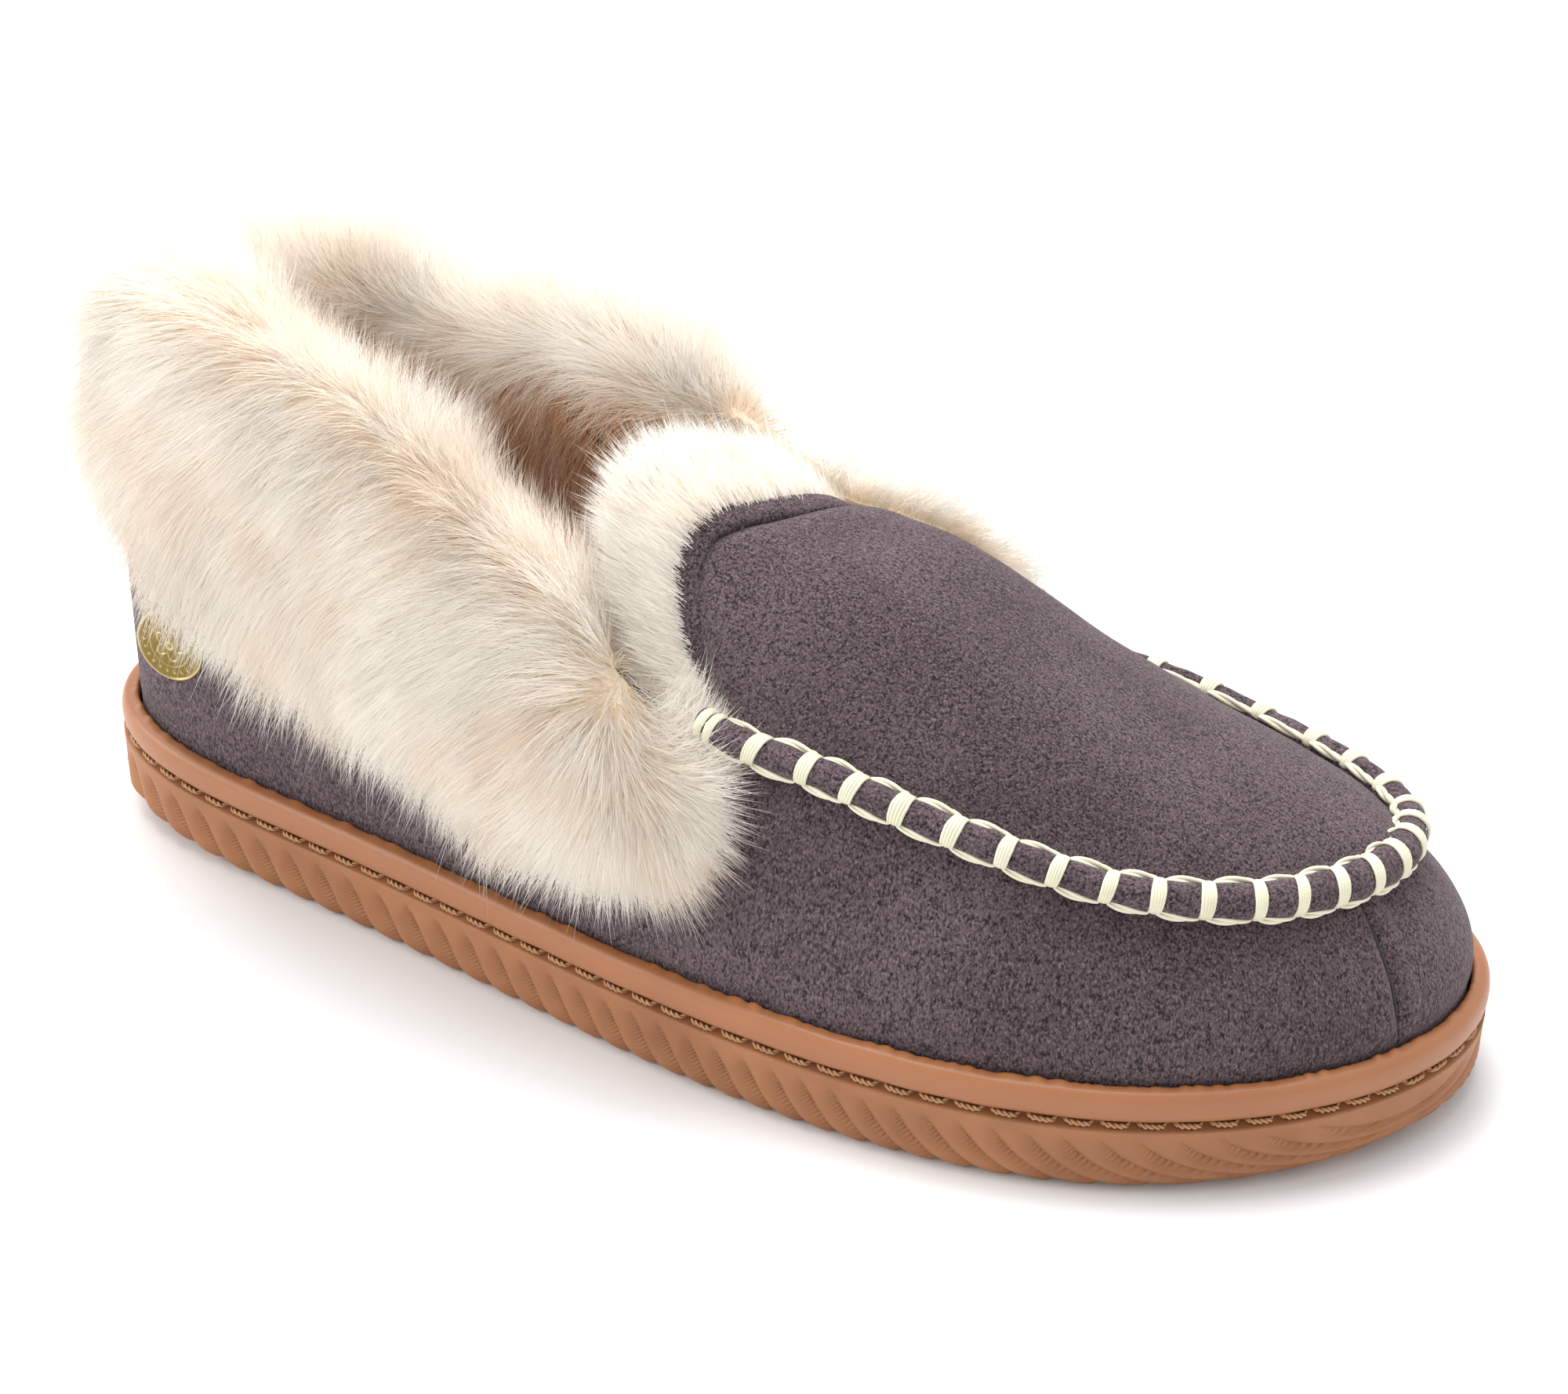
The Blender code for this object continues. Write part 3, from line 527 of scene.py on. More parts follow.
@dataclass(frozen=True)
class Yarn:
    """Twisted or flat thread, with fibres along it: UV U runs along the thread, V round it."""

    name: str
    light: Colour = tone(240, 238, 220)
    dark: Colour = tone(196, 190, 150)
    roughness: float = 0.6
    fibres: float = 14.0
    metallic: float = 0.0
    sheen: float = 0.15

    def material(self) -> bpy.types.Material:
        """Makes the material."""
        bench = Bench(self.name)
        strands = bench.noise(bench.stretched(bench.own_map(), (2.0, self.fibres, 1.0)), 3.0, 3.0, 0.6)
        worn = bench.noise(bench.own_place(), 260.0, 2.0)
        shade = bench.between(strands, 0.35, 0.62)
        colour = bench.mix(shade, self.dark, self.light)
        colour = bench.mix(bench.between(worn, 0.45, 0.8) * 0.25, colour, self.dark)
        return bench.dress(
            Base_Color=colour, Roughness=self.roughness, Metallic=self.metallic,
            Sheen_Weight=self.sheen, Normal=bench.bump(strands, 0.00025, 0.9),
        )


@dataclass(frozen=True)
class Fur:
    """Pile hairs that glow with painted light: UV V runs from root to tip, U is each hair's own tone."""

    name: str
    cream: Colour = tone(252, 249, 242)
    peach: Colour = tone(252, 239, 224)
    tan: Colour = tone(222, 160, 94)
    root: Colour = tone(252, 241, 226)
    through: float = 0.5
    # Emission strength: a painted glow that stands in for light scattered deep in the pile.
    scatter: float = 0.14

    def material(self) -> bpy.types.Material:
        """Makes the material."""
        bench = Bench(self.name)
        split = bench.node("ShaderNodeSeparateXYZ", {}, {0: bench.own_map()}, "X")
        own_tone, along = split, Wire(bench, split.socket.node.outputs["Y"])
        stops = ((0.0, self.cream), (0.5, self.peach), (1.0, self.tan))
        body = bench.node("ShaderNodeValToRGB", {"stops": stops}, {"Fac": own_tone})
        rooted = bench.node(
            "ShaderNodeMix", {"data_type": "RGBA", "blend_type": "MULTIPLY"},
            {0: 1.0, 6: body, 7: self.root}, 2,
        )
        colour = bench.mix(bench.between(along, 0.0, 0.5), rooted, body)
        # Painted glow: emission in the hair's own colour brightens the fur from within.
        bench.dress(
            Base_Color=colour, Roughness=0.62, Specular_IOR_Level=0.3, Emission_Color=colour,
            Emission_Strength=self.scatter,
        )
        glow = bench.node("ShaderNodeBsdfTranslucent", {}, {"Color": colour})
        shader = Wire(bench, bench.shader.outputs[0])
        both = bench.node("ShaderNodeMixShader", {}, {0: self.through, 1: shader, 2: glow})
        output = bench.tree.nodes["Material Output"]
        bench.feed(output.inputs["Surface"], both)
        return bench.material


@dataclass(frozen=True)
class Pelt:
    """Backing under the pile, seen only between hairs."""

    name: str
    colour: Colour = tone(253, 240, 220)
    shade: Colour = tone(248, 226, 196)

    def material(self) -> bpy.types.Material:
        """Makes the material."""
        bench = Bench(self.name)
        place = bench.own_place()
        tufts = bench.noise(place, 420.0, 3.0, 0.65)
        patches = bench.noise(place, 40.0, 2.0)
        colour = bench.mix(bench.between(tufts, 0.35, 0.65), self.shade, self.colour)
        colour = bench.mix(bench.between(patches, 0.4, 0.7) * 0.3, colour, self.shade)
        return bench.dress(
            Base_Color=colour, Roughness=0.95, Sheen_Weight=0.3, Normal=bench.bump(tufts, 0.0008),
        )


@dataclass(frozen=True)
class Brass:
    """Pale brushed brass, a little darker in the sunk parts."""

    name: str
    colour: Colour = tone(196, 178, 124)
    sunk: Colour = tone(120, 100, 54)

    def material(self) -> bpy.types.Material:
        """Makes the material."""
        bench = Bench(self.name)
        place = bench.own_place()
        scratches = bench.noise(bench.stretched(place, (0.25, 1.0, 1.0)), 2600.0, 3.0)
        tarnish = bench.noise(place, 380.0, 3.0)
        colour = bench.mix(bench.attribute("sunk"), self.colour, self.sunk)
        colour = bench.mix(bench.between(tarnish, 0.5, 0.8) * 0.3, colour, self.sunk)
        rough = bench.between(scratches, 0.3, 0.7) * 0.18 + 0.24
        return bench.dress(
            Base_Color=colour, Metallic=1.0, Roughness=rough,
            Normal=bench.bump(scratches, 0.00004, 0.6),
        )


@dataclass(frozen=True)
class Plain:
    """Hidden material with a visible structure: grains, weave or foam cells."""

    name: str
    light: Colour
    dark: Colour
    roughness: float = 0.85
    metallic: float = 0.0
    scale: float = 900.0

    def material(self) -> bpy.types.Material:
        """Makes the material."""
        bench = Bench(self.name)
        cells = bench.noise(bench.own_place(), self.scale, 3.0, 0.6)
        colour = bench.mix(bench.between(cells, 0.3, 0.7), self.dark, self.light)
        return bench.dress(
            Base_Color=colour, Roughness=self.roughness, Metallic=self.metallic,
            Normal=bench.bump(cells, 0.0002, 0.6),
        )


# Mesh making ---------------------------------------------------------------------------------


def unit_grid(columns: int, rows: int) -> tuple[Array, Array]:
    """Shares along the columns and rows of a grid, as arrays that broadcast."""
    return np.linspace(0, 1, columns + 1)[None, :], np.linspace(0, 1, rows + 1)[:, None]


def sheet(
    name: str, places: Array, closed: tuple[bool, bool] = (False, False), capped: bool = False,
    values: dict | None = None,
) -> bpy.types.Object:
    """Surface through a grid of places, with UVs along its columns and rows.

    Args:
        name: the piece's name.
        places: array of rows x columns x 3.
        closed: whether the columns, and the rows, end where they start.
        capped: fills the holes that are left.
        values: named values stored on the points, each rows x columns.

    Returns:
        The new piece.
    """
    rows, columns = places.shape[0] - 1, places.shape[1] - 1
    form = bmesh.new()
    bmesh.ops.create_grid(form, x_segments=columns, y_segments=rows, size=0.5, calc_uvs=True)
    if not form.loops.layers.uv:
        form.loops.layers.uv.new("UVMap")
    mesh = bpy.data.meshes.new(name)
    form.to_mesh(mesh)
    form.free()
    mesh.vertices.foreach_set("co", places.reshape(-1, 3).astype(np.float32).ravel())
    for key, value in (values or {}).items():
        spread = np.broadcast_to(value, places.shape[:2]).astype(np.float32).ravel()
        mesh.attributes.new(key, "FLOAT", "POINT").data.foreach_set("value", spread)
    form = bmesh.new()
    form.from_mesh(mesh)
    if any(closed):
        bmesh.ops.remove_doubles(form, verts=form.verts, dist=1e-6)
    if capped:
        bmesh.ops.holes_fill(form, edges=form.edges, sides=0)
    bmesh.ops.recalc_face_normals(form, faces=form.faces)
    form.to_mesh(mesh)
    form.free()
    mesh.shade_smooth()
    return placed(name, mesh)


def tube(path: Array, across: Array, up: Array, sides: int, widths: Array, heights: Array) -> Array:
    """Places of a tube with an oval section.

    Args:
        path: count x 3 points.
        across: direction of the section's width at each point.
        up: direction of the section's height.
        sides: corners of the section.
        widths: half width at each point.
        heights: half height at each point.

    Returns:
        Array of (sides + 1) x count x 3, closed round its rows.
    """
    turns = np.linspace(0, 2 * np.pi, sides + 1)[:, None, None]
    wide = across * np.broadcast_to(widths, len(path))[:, None]
    high = up * np.broadcast_to(heights, len(path))[:, None]
    return path + np.cos(turns) * wide + np.sin(turns) * high


def tangents(path: Array) -> Array:
    """Unit direction along each point of a path."""
    return unit(np.gradient(path, axis=0))


def thickened(piece: bpy.types.Object, depth: float, offset: float) -> bpy.types.Object:
    """Gives a sheet a thickness: offset -1 is inward and 0 is to both sides."""
    wall = piece.modifiers.new("Thickness", "SOLIDIFY")
    wall.thickness = depth
    wall.offset = offset
    return piece


def placed(name: str, data: bpy.types.ID) -> bpy.types.Object:
    """Object of a mesh, a light or a camera, in the scene."""
    made = bpy.data.objects.new(name, data)
    bpy.context.scene.collection.objects.link(made)
    return made


def joined(name: str, parts: list[bpy.types.Object]) -> bpy.types.Object:
    """One piece made of all the parts, whose objects go."""
    form = bmesh.new()
    for part in parts:
        form.from_mesh(part.data)
        mesh = part.data
        bpy.data.objects.remove(part)
        bpy.data.meshes.remove(mesh)
    mesh = bpy.data.meshes.new(name)
    form.to_mesh(mesh)
    form.free()
    mesh.shade_smooth()
    return placed(name, mesh)


def ridden(
    piece: bpy.types.Object, material: bpy.types.Material, slot: Slot, *replaced: str
) -> bpy.types.Object:
    """Dresses a piece, puts it on the slipper's body and hides the frame's nodes that it replaces."""
    piece.data.materials.clear()
    piece.data.materials.append(material)
    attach(piece, "root")
    if replaced:
        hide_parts(*replaced)
    log.info("%s: %d faces", piece.name, len(piece.data.polygons))
    return piece


def redress(node: str, material: bpy.types.Material) -> None:
    """Gives a node of the frame a better material."""
    node_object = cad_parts[node]
    for slot in node_object.material_slots:
        slot.material = material
    log.info("%s: kept from the frame", node)


# Sole ----------------------------------------------------------------------------------------


@dataclass
class Sole:
    """Cupsole with ribbed sides, its rim and the stitches in the channel between them."""

    last: Last
    columns: int = 1400
    pitch_knots: tuple = (0.0, 0.040, 0.100, 0.150, 0.200, 0.280)
    pitches: tuple = (0.0068, 0.0062, 0.0056, 0.0060, 0.0071, 0.0073)
    rib_depth: float = 0.0029
    scallop: float = 0.0022
    shear_knots: tuple = (0.0, 0.030, 0.060, 0.100, 0.160)
    shears: tuple = (0.027, 0.022, 0.0135, 0.0080, 0.0060)
    toe_blend: float = 0.024
    channel_height: float = 0.0013
    channel_depth: float = 0.0028
    tray_floor: float = 0.0075
    tread_inset: float = 0.0060
    tread_groove: float = 0.0011
    spine_x: tuple = (-0.088, 0.078)
    stitch_pitch: float = 0.0064
    stitch_radius: float = 0.00034

    def rib_phase(self, u: Array, drop: Array) -> Array:
        """Ribs counted from the toe, leaning forward as they go down."""
        distance = self.last.from_toe(u)
        lengths = self.last.side_lengths
        length = np.where(np.mod(u, 1.0) < 0.5, lengths[0], lengths[1])
        steps = np.linspace(0.0, 0.30, 600)
        pitch = smooth_through(steps, self.pitch_knots, self.pitches)
        density = steps / np.sqrt(steps**2 + self.toe_blend**2) / pitch
        counted = np.concatenate([[0.0], np.cumsum(0.5 * (density[1:] + density[:-1]) * np.diff(steps))])
        full = np.interp(length, steps, counted)
        shear = smooth_through(distance, self.shear_knots, self.shears)
        shear = shear * (1 - eased(distance, length - 0.030, length))
        here = smooth_through(distance, self.pitch_knots, self.pitches)
        return np.interp(distance, steps, counted) / full * np.round(full) + shear * drop**2.4 / here

    def lobe(self, phase: Array) -> Array:
        """1 on a rib's crest, 0 in the valley between two."""
        return np.abs(np.sin(np.pi * phase)) ** 0.55

    def side_place(self, u: Array, drop: Array) -> tuple[Array, Array]:
        """Places on the ribbed side, and how deep in a valley each one is."""
        last = self.last
        lobe = self.lobe(self.rib_phase(u, drop))
        fade = eased(drop, 0.12, 0.62)
        valley = (1 - lobe) * fade
        belly = 0.0002 + 0.0003 * (1 - 4 * (drop - 0.45) ** 2)
        tuck = 0.0020 * ramp(drop, 0.78, 1.0) ** 2
        inset = belly * 0.5 + self.rib_depth * valley + tuck
        top = last.channel(u) - self.channel_height
        low = last.sole_lift(u) + self.scallop * (1 - lobe) + 0.0003
        return last.place(u, inset, top + (low - top) * drop), valley

    def spine(self, u: Array) -> Array:
        """Nearest place to share u on the sole's middle line, at height 0."""
        last = self.last
        reach = np.clip(last.x(u), *self.spine_x)
        outer_side, inner_side = np.linspace(0.02, 0.5, 300), np.linspace(0.5, 0.98, 300)
        outer = np.interp(-reach, -last.x(outer_side), outer_side)
        inner = np.interp(reach, last.x(inner_side), inner_side)
        return 0.5 * (last.place(outer, 0.0, 0.0) + last.place(inner, 0.0, 0.0))

    def make_outsole(self) -> bpy.types.Object:
        """Tray, lip, ribbed side and tread in one moulding."""
        last = self.last
        u = np.linspace(0, 1, self.columns + 1)
        roof = last.channel(u)
        floor = roof - self.channel_height
        spine = self.spine(u)
        wall = last.rim_thickness
        rings, valleys, hatch = [], [], []

        def add(ring: Array, valley: Array | float = 0.0, down: float = 0.0) -> None:
            rings.append(ring)
            valleys.append(np.broadcast_to(valley, u.shape))
            hatch.append(np.full(u.shape, down))

        edge = last.place(u, wall, self.tray_floor)
        inner_spine = spine + (0, 0, self.tray_floor)
        for share in (0.97, 0.5):
            add(edge + (inner_spine - edge) * share)
        add(edge)
        add(last.place(u, wall, roof - last.gap))
        add(last.place(u, self.channel_depth, roof - last.gap))
        for inset, rise in ((0.0027, 0.0004), (0.0025, 0.0001), (0.0014, 0.0), (0.0007, -0.00015)):
            add(last.place(u, inset, floor + rise))
        side_height = float(np.mean(floor - last.sole_lift(u)))
        for drop in np.concatenate([[0.02, 0.05], np.linspace(0.09, 0.96, 24), [0.985, 1.0]]):
            ring, valley = self.side_place(u, np.full(u.shape, drop))
            add(ring, valley, drop * side_height)
        last_ring = rings[-1].copy()
        toe = ramp(last.x(u), 0.075, last.sole_length / 2) ** 2
        lobe = self.lobe(self.rib_phase(u, np.ones_like(u)))
        contact = last.place(u, self.tread_inset + 0.030 * toe, 0.0)
        for share in (0.25, 0.6, 1.0):
            ring = last_ring + (contact - last_ring) * share
            ring[:, 2] = last_ring[:, 2] * (1 - share) ** 1.5 + self.tread_groove * (1 - lobe) * share
            add(ring, (1 - lobe) * (1 - share))
        for share in (0.15, 0.3, 0.45, 0.6, 0.72, 0.84, 0.96):
            ring = contact + (spine - contact) * share
            wave = 0.5 - 0.5 * np.cos(2 * np.pi * (share * 5 + 0.4 * lobe))
            ring[:, 2] = self.tread_groove * (0.8 * wave * ramp(share, 0.05, 0.3) + (1 - lobe) * (1 - share))
            add(ring)
        return sheet(
            "outsole_moulding", np.array(rings), (True, False), True,
            {"valley": np.array(valleys), "hatch": np.array(hatch)},
        )

    def make_rim(self) -> bpy.types.Object:
        """Rounded lip with a thin, uneven flash where it meets the suede."""
        last, columns = self.last, 900
        u, row = unit_grid(columns, 22)
        turn = np.radians(-95 + 215 * row)
        half = last.rim_depth / 2
        wobble = Ripples(0.011, 5).at(last.place(u, 0.0, 0.0))
        ragged = np.abs(Ripples(0.0032, 6).at(last.place(u, 0.0, 0.0)))
        reach = 0.0021
        inset = reach - reach * np.sign(np.cos(turn)) * np.abs(np.cos(turn)) ** 0.75
        inset = np.minimum(inset, last.rim_thickness - 0.0001)
        rise = -half + half * np.sign(np.sin(turn)) * np.abs(np.sin(turn)) ** 0.85
        flash = eased(row, 0.80, 0.97)
        rise = rise + 0.00012 * wobble + flash * 0.0005 * ragged
        places = last.place(u + 0 * row, inset, last.rim_top(u) + rise)
        foot = last.place(u, last.rim_thickness, last.channel(u))
        places = np.concatenate([places, foot, places[:1]])
        marks = np.concatenate([flash * (0.25 + 0.75 * ragged), 0 * u, 0 * u])
        return sheet("rim_moulding", places, (True, True), values={"flash": marks})

    def make_stitches(self) -> bpy.types.Object:
        """Two-ply stitches that lie in the channel and dive into it at both ends."""
        last = self.last
        parts = []
        for inner, length in ((False, last.side_lengths[0]), (True, last.side_lengths[1])):
            count = round(length / self.stitch_pitch)
            for i in range(count):
                start, end = ((i + a) / count * length for a in (0.04, 0.96))
                t = np.linspace(0, 1, 15)
                u = np.array([last.share_from_toe(d, inner) for d in start + (end - start) * t])
                dive = 0.0022 * (np.abs(2 * t - 1) ** 5)
                inset = 0.0010 + dive
                z = last.channel(u) - 0.0007 - 0.00015 * np.cos(np.pi * t)
                core = last.place(u, inset, z)
                out = np.concatenate([last.outward(u), np.zeros((len(u), 1))], 1)
                up = np.array([0.0, 0.0, 1.0])
                for ply in range(2):
                    turn = 2 * np.pi * 2.6 * t + np.pi * ply
                    offset = out * np.cos(turn)[:, None] + up * np.sin(turn)[:, None]
                    path = core + 0.8 * self.stitch_radius * offset
                    section = tube(
                        path, out, np.broadcast_to(up, path.shape), 5,
                        self.stitch_radius, self.stitch_radius,
                    )
                    parts.append(sheet("ply", section, (False, True), True))
        return joined("sole_stitches", parts)

    def build(self) -> None:
        """Makes and dresses the sole's pieces."""
        hatched = Rubber("tan_rubber_ribbed", hatched=True).material()
        gloss = Rubber(
            "tan_rubber_rim", tone(162, 105, 66), tone(144, 89, 54), 0.42, 0.12
        ).material()
        bronze = Yarn(
            "bronze_twist", tone(214, 166, 116), tone(120, 76, 46), 0.38, 8.0, 0.25
        ).material()
        ridden(self.make_outsole(), hatched, Slot.RUBBER, "outsole")
        ridden(self.make_rim(), gloss, Slot.RIM, "sole_rim")
        ridden(self.make_stitches(), bronze, Slot.BRONZE, "sole_stitch_thread")


# Upper ---------------------------------------------------------------------------------------


@dataclass
class Upper:
    """Outer and inner suede side panels, with the seams at the toe and the heel."""

    last: Last
    seam_depth: float = 0.0011
    seam_width: float = 0.0011
    seam_puff: float = 0.0004
    drape: float = 0.00030
    pucker: float = 0.00045
    foot: float = 0.0130

    def panel_face(self, u: Array, row: Array) -> Array:
        """Outer face: row 0 is the foot inside the rim, row 1 the top edge under the ridge."""
        last = self.last
        z = self.foot + (last.wall_top(u) + 0.0012 - self.foot) * row
        inset = last.wall_inset(u, np.minimum(z, last.wall_top(u)))
        seam = np.minimum(last.from_toe(u), np.abs(last.side_lengths[0] - last.from_toe(u)))
        groove = self.seam_depth * np.exp(-((seam / self.seam_width) ** 2))
        puff = self.seam_puff * np.exp(-(((seam - 0.003) / 0.0025) ** 2))
        free = eased(z, last.rim_top(u) - 0.001, last.rim_top(u) + 0.008)
        flat = last.place(u, inset, z)
        waves = Ripples(0.038, 11).at(flat) + 0.45 * Ripples(0.014, 12).at(flat)
        marks = np.sin(2 * np.pi * (u - last.ridge_first) / Whipstitch.pitch_share(last))
        near_ridge = np.exp(-((last.wall_top(u) - z) / 0.0045) ** 2) * ramp(last.x(u), 0.0, 0.01)
        inset = inset + groove * free - puff * free - self.drape * waves * free
        inset = inset - self.pucker * marks * near_ridge
        return last.place(u, inset, z)

    def make_panel(self, name: str, first: float, last_share: float) -> bpy.types.Object:
        """One side panel between two seams."""
        column, row = unit_grid(420, 40)
        u = first + (last_share - first) * column
        piece = sheet(name, self.panel_face(u + 0 * row, row))
        return thickened(piece, self.last.suede, -1.0)

    def build(self) -> None:
        """Makes and dresses the panels, and dresses what they hide."""
        suede = Suede("grey_suede_side", grain_stretch=(1.0, 1.0, 0.55)).material()
        seam = 0.00003
        spans = {"outer": (seam, 0.5 - seam), "inner": (0.5 + seam, 1 - seam)}
        for side, span in spans.items():
            panel = self.make_panel(f"suede_panel_{side}", *span)
            ridden(panel, suede, Slot.SUEDE, f"side_panel_{side}")
        dark = Yarn("seam_thread", tone(70, 60, 64), tone(38, 32, 35), 0.8).material()
        stiff = Plain("stiffener_fibre", tone(232, 228, 216), tone(206, 200, 184)).material()
        tape = Plain("woven_tape", tone(150, 142, 144), tone(110, 102, 106), scale=1500).material()
        for node in ("front_seam_thread", "back_seam_thread"):
            redress(node, dark)
        for node in ("heel_counter", "toe_puff"):
            redress(node, stiff)
        redress("topline_tape", tape)


@dataclass
class Ridge:
    """Suede piping along the joint of the apron and the side panels, pinched at each stitch."""

    last: Last
    squeeze: float = 0.24
    plump: float = -0.14

    def pinch(self, u: Array) -> Array:
        """1 midway between two stitches, 0 under a stitch."""
        phase = (u - Whipstitch.first_mark(self.last)) / Whipstitch.pitch_share(self.last)
        return np.abs(np.sin(np.pi * phase)) ** 0.6

    def make(self) -> bpy.types.Object:
        """The piping, closed all round."""
        last = self.last
        column, row = unit_grid(840, 20)
        u = last.ridge_first + (last.ridge_last - last.ridge_first) * column
        angle = -90 + 360 * row
        lumps = 0.04 * Ripples(0.005, 21).at(last.ridge_point(u, 0.6 * last.ridge_radius, angle))
        taper = np.minimum(ramp(column, 0.0, 0.004), ramp(1 - column, 0.0, 0.004)) ** 0.5
        swell = (1 - self.squeeze + (self.squeeze + self.plump) * self.pinch(u) + lumps) * taper
        reach = last.ridge_radius * np.maximum(swell, 0.02) * last.toe_plump(u)
        return sheet("suede_ridge", last.ridge_point(u, reach, angle), (False, True), True)

    def build(self, suede: bpy.types.Material) -> None:
        """Makes and dresses the ridge, and dresses the cord in it."""
        ridden(self.make(), suede, Slot.SUEDE, "ridge_cover")
        cord = Yarn("cotton_cord", tone(226, 222, 208), tone(190, 184, 166), 0.85).material()
        redress("ridge_cord", cord)


@dataclass
class Whipstitch:
    """Ivory thread: flat bundles over the ridge and twisted runs along both its feet."""

    last: Last
    count: int = 30
    strands: int = 5
    strand_width: float = 0.00035
    strand_height: float = 0.00032
    bundle: float = 0.0025
    run_radius: float = 0.00046
    snug: float = 0.80
    lean: float = 0.0026
    margin: float = 0.006
    # Angle round the ridge, slack and shift of the run at each foot of the ridge
    runs: tuple = ((-44, 0.0002, 0.11), (134, 0.0004, -0.11))

    @classmethod
    def first_mark(cls, last: Last) -> float:
        """Share of the first stitch."""
        return last.ridge_first + cls.margin

    @classmethod
    def pitch_share(cls, last: Last) -> float:
        """Share of the outline between two stitches."""
        return (last.ridge_last - last.ridge_first - 2 * cls.margin) / (cls.count - 1)

    def wrap(self, u: float, wide: float, lean: float) -> list[bpy.types.Object]:
        """Strands of one bundle over the ridge.

        Args:
            u: share of the stitch.
            wide: width of the bundle.
            lean: how far its inner foot is ahead of its outer foot along the ridge.
        """
        last = self.last
        parts = []
        t = np.linspace(0, 1, 15)
        angle = -58 + 216 * t
        reach = last.ridge_radius * self.snug * last.toe_plump(u) + self.strand_height * 0.9
        sink = 0.0009 * np.abs(2 * t - 1) ** 6
        along = last.share_from_toe(0.001, False)
        for k in np.linspace(-0.5, 0.5, self.strands):
            spread = wide * k * np.interp(t, (0, 0.12, 0.5, 0.8, 1), (0.35, 0.75, 1, 0.8, 0.45))
            rows = u + (spread + lean * (0.5 - t)) / 0.001 * along
            path = last.ridge_point(rows, reach - sink + 0.00012 * np.cos(np.pi * k), angle)
            centre = last.ridge_point(rows, 0.0, 0.0)
            outward = unit(path - centre)
            across = unit(np.cross(tangents(path), outward))
            parts.append(
                sheet(
                    "strand",
                    tube(path, across, outward, 6, self.strand_width, self.strand_height),
                    (False, True), True,
                )
            )
        return parts

    def run(self, start: float, end: float, angle: float, sag: float) -> list[bpy.types.Object]:
        """Slack strands along one foot of the ridge, between two stitches.

        Args:
            start: share where the run comes up.
            end: share where it goes down again.
            angle: place round the ridge, in degrees.
            sag: how far the run's middle stands off.
        """
        last = self.last
        parts = []
        t = np.linspace(0, 1, 15)
        u = start + (end - start) * t
        belly = np.sin(np.pi * t) ** 0.45
        snug = last.ridge_radius * self.snug * last.toe_plump(u)
        core = last.ridge_point(u, snug - 0.0004 + (sag + 0.0004) * belly, angle)
        centre = last.ridge_point(u, 0.0, 0.0)
        outward = unit(core - centre)
        side = unit(np.cross(tangents(core), outward))
        for ply in range(3):
            turn = 2 * np.pi * (0.45 * t + ply / 3)
            offset = outward * np.cos(turn)[:, None] + side * np.sin(turn)[:, None]
            path = core + offset * (self.run_radius * (0.35 + 0.65 * belly))[:, None]
            taper = self.run_radius * (0.45 + 0.55 * belly)
            parts.append(sheet("ply", tube(path, side, outward, 6, taper, taper), (False, True), True))
        return parts

    def build(self) -> None:
        """Makes and dresses the whole stitch."""
        draw = np.random.default_rng(31)
        pitch = self.pitch_share(self.last)
        marks = self.first_mark(self.last) + pitch * np.arange(self.count)
        marks = marks + draw.uniform(-0.06, 0.06, self.count) * pitch
        parts = []
        for i, u in enumerate(marks):
            double = i == self.count - 1
            wide = self.bundle * draw.uniform(0.85, 1.12)
            lean = self.lean * draw.uniform(0.6, 1.3)
            if double:
                parts += self.wrap(u - 0.0016, 0.5 * wide, lean) + self.wrap(u + 0.0018, 0.5 * wide, lean)
            else:
                parts += self.wrap(u, wide, lean)
            if i + 1 < self.count:
                gap = marks[i + 1] - u
                for angle, sag, shift in self.runs:
                    ends = u + (shift + 0.02) * gap, marks[i + 1] + (shift - 0.02) * gap
                    parts += self.run(*ends, angle, sag * draw.uniform(0.6, 1.4))
        thread = Yarn("ivory_thread").material()
        ridden(joined("ivory_whipstitch", parts), thread, Slot.IVORY, "whipstitch_thread")


# Apron ---------------------------------------------------------------------------------------


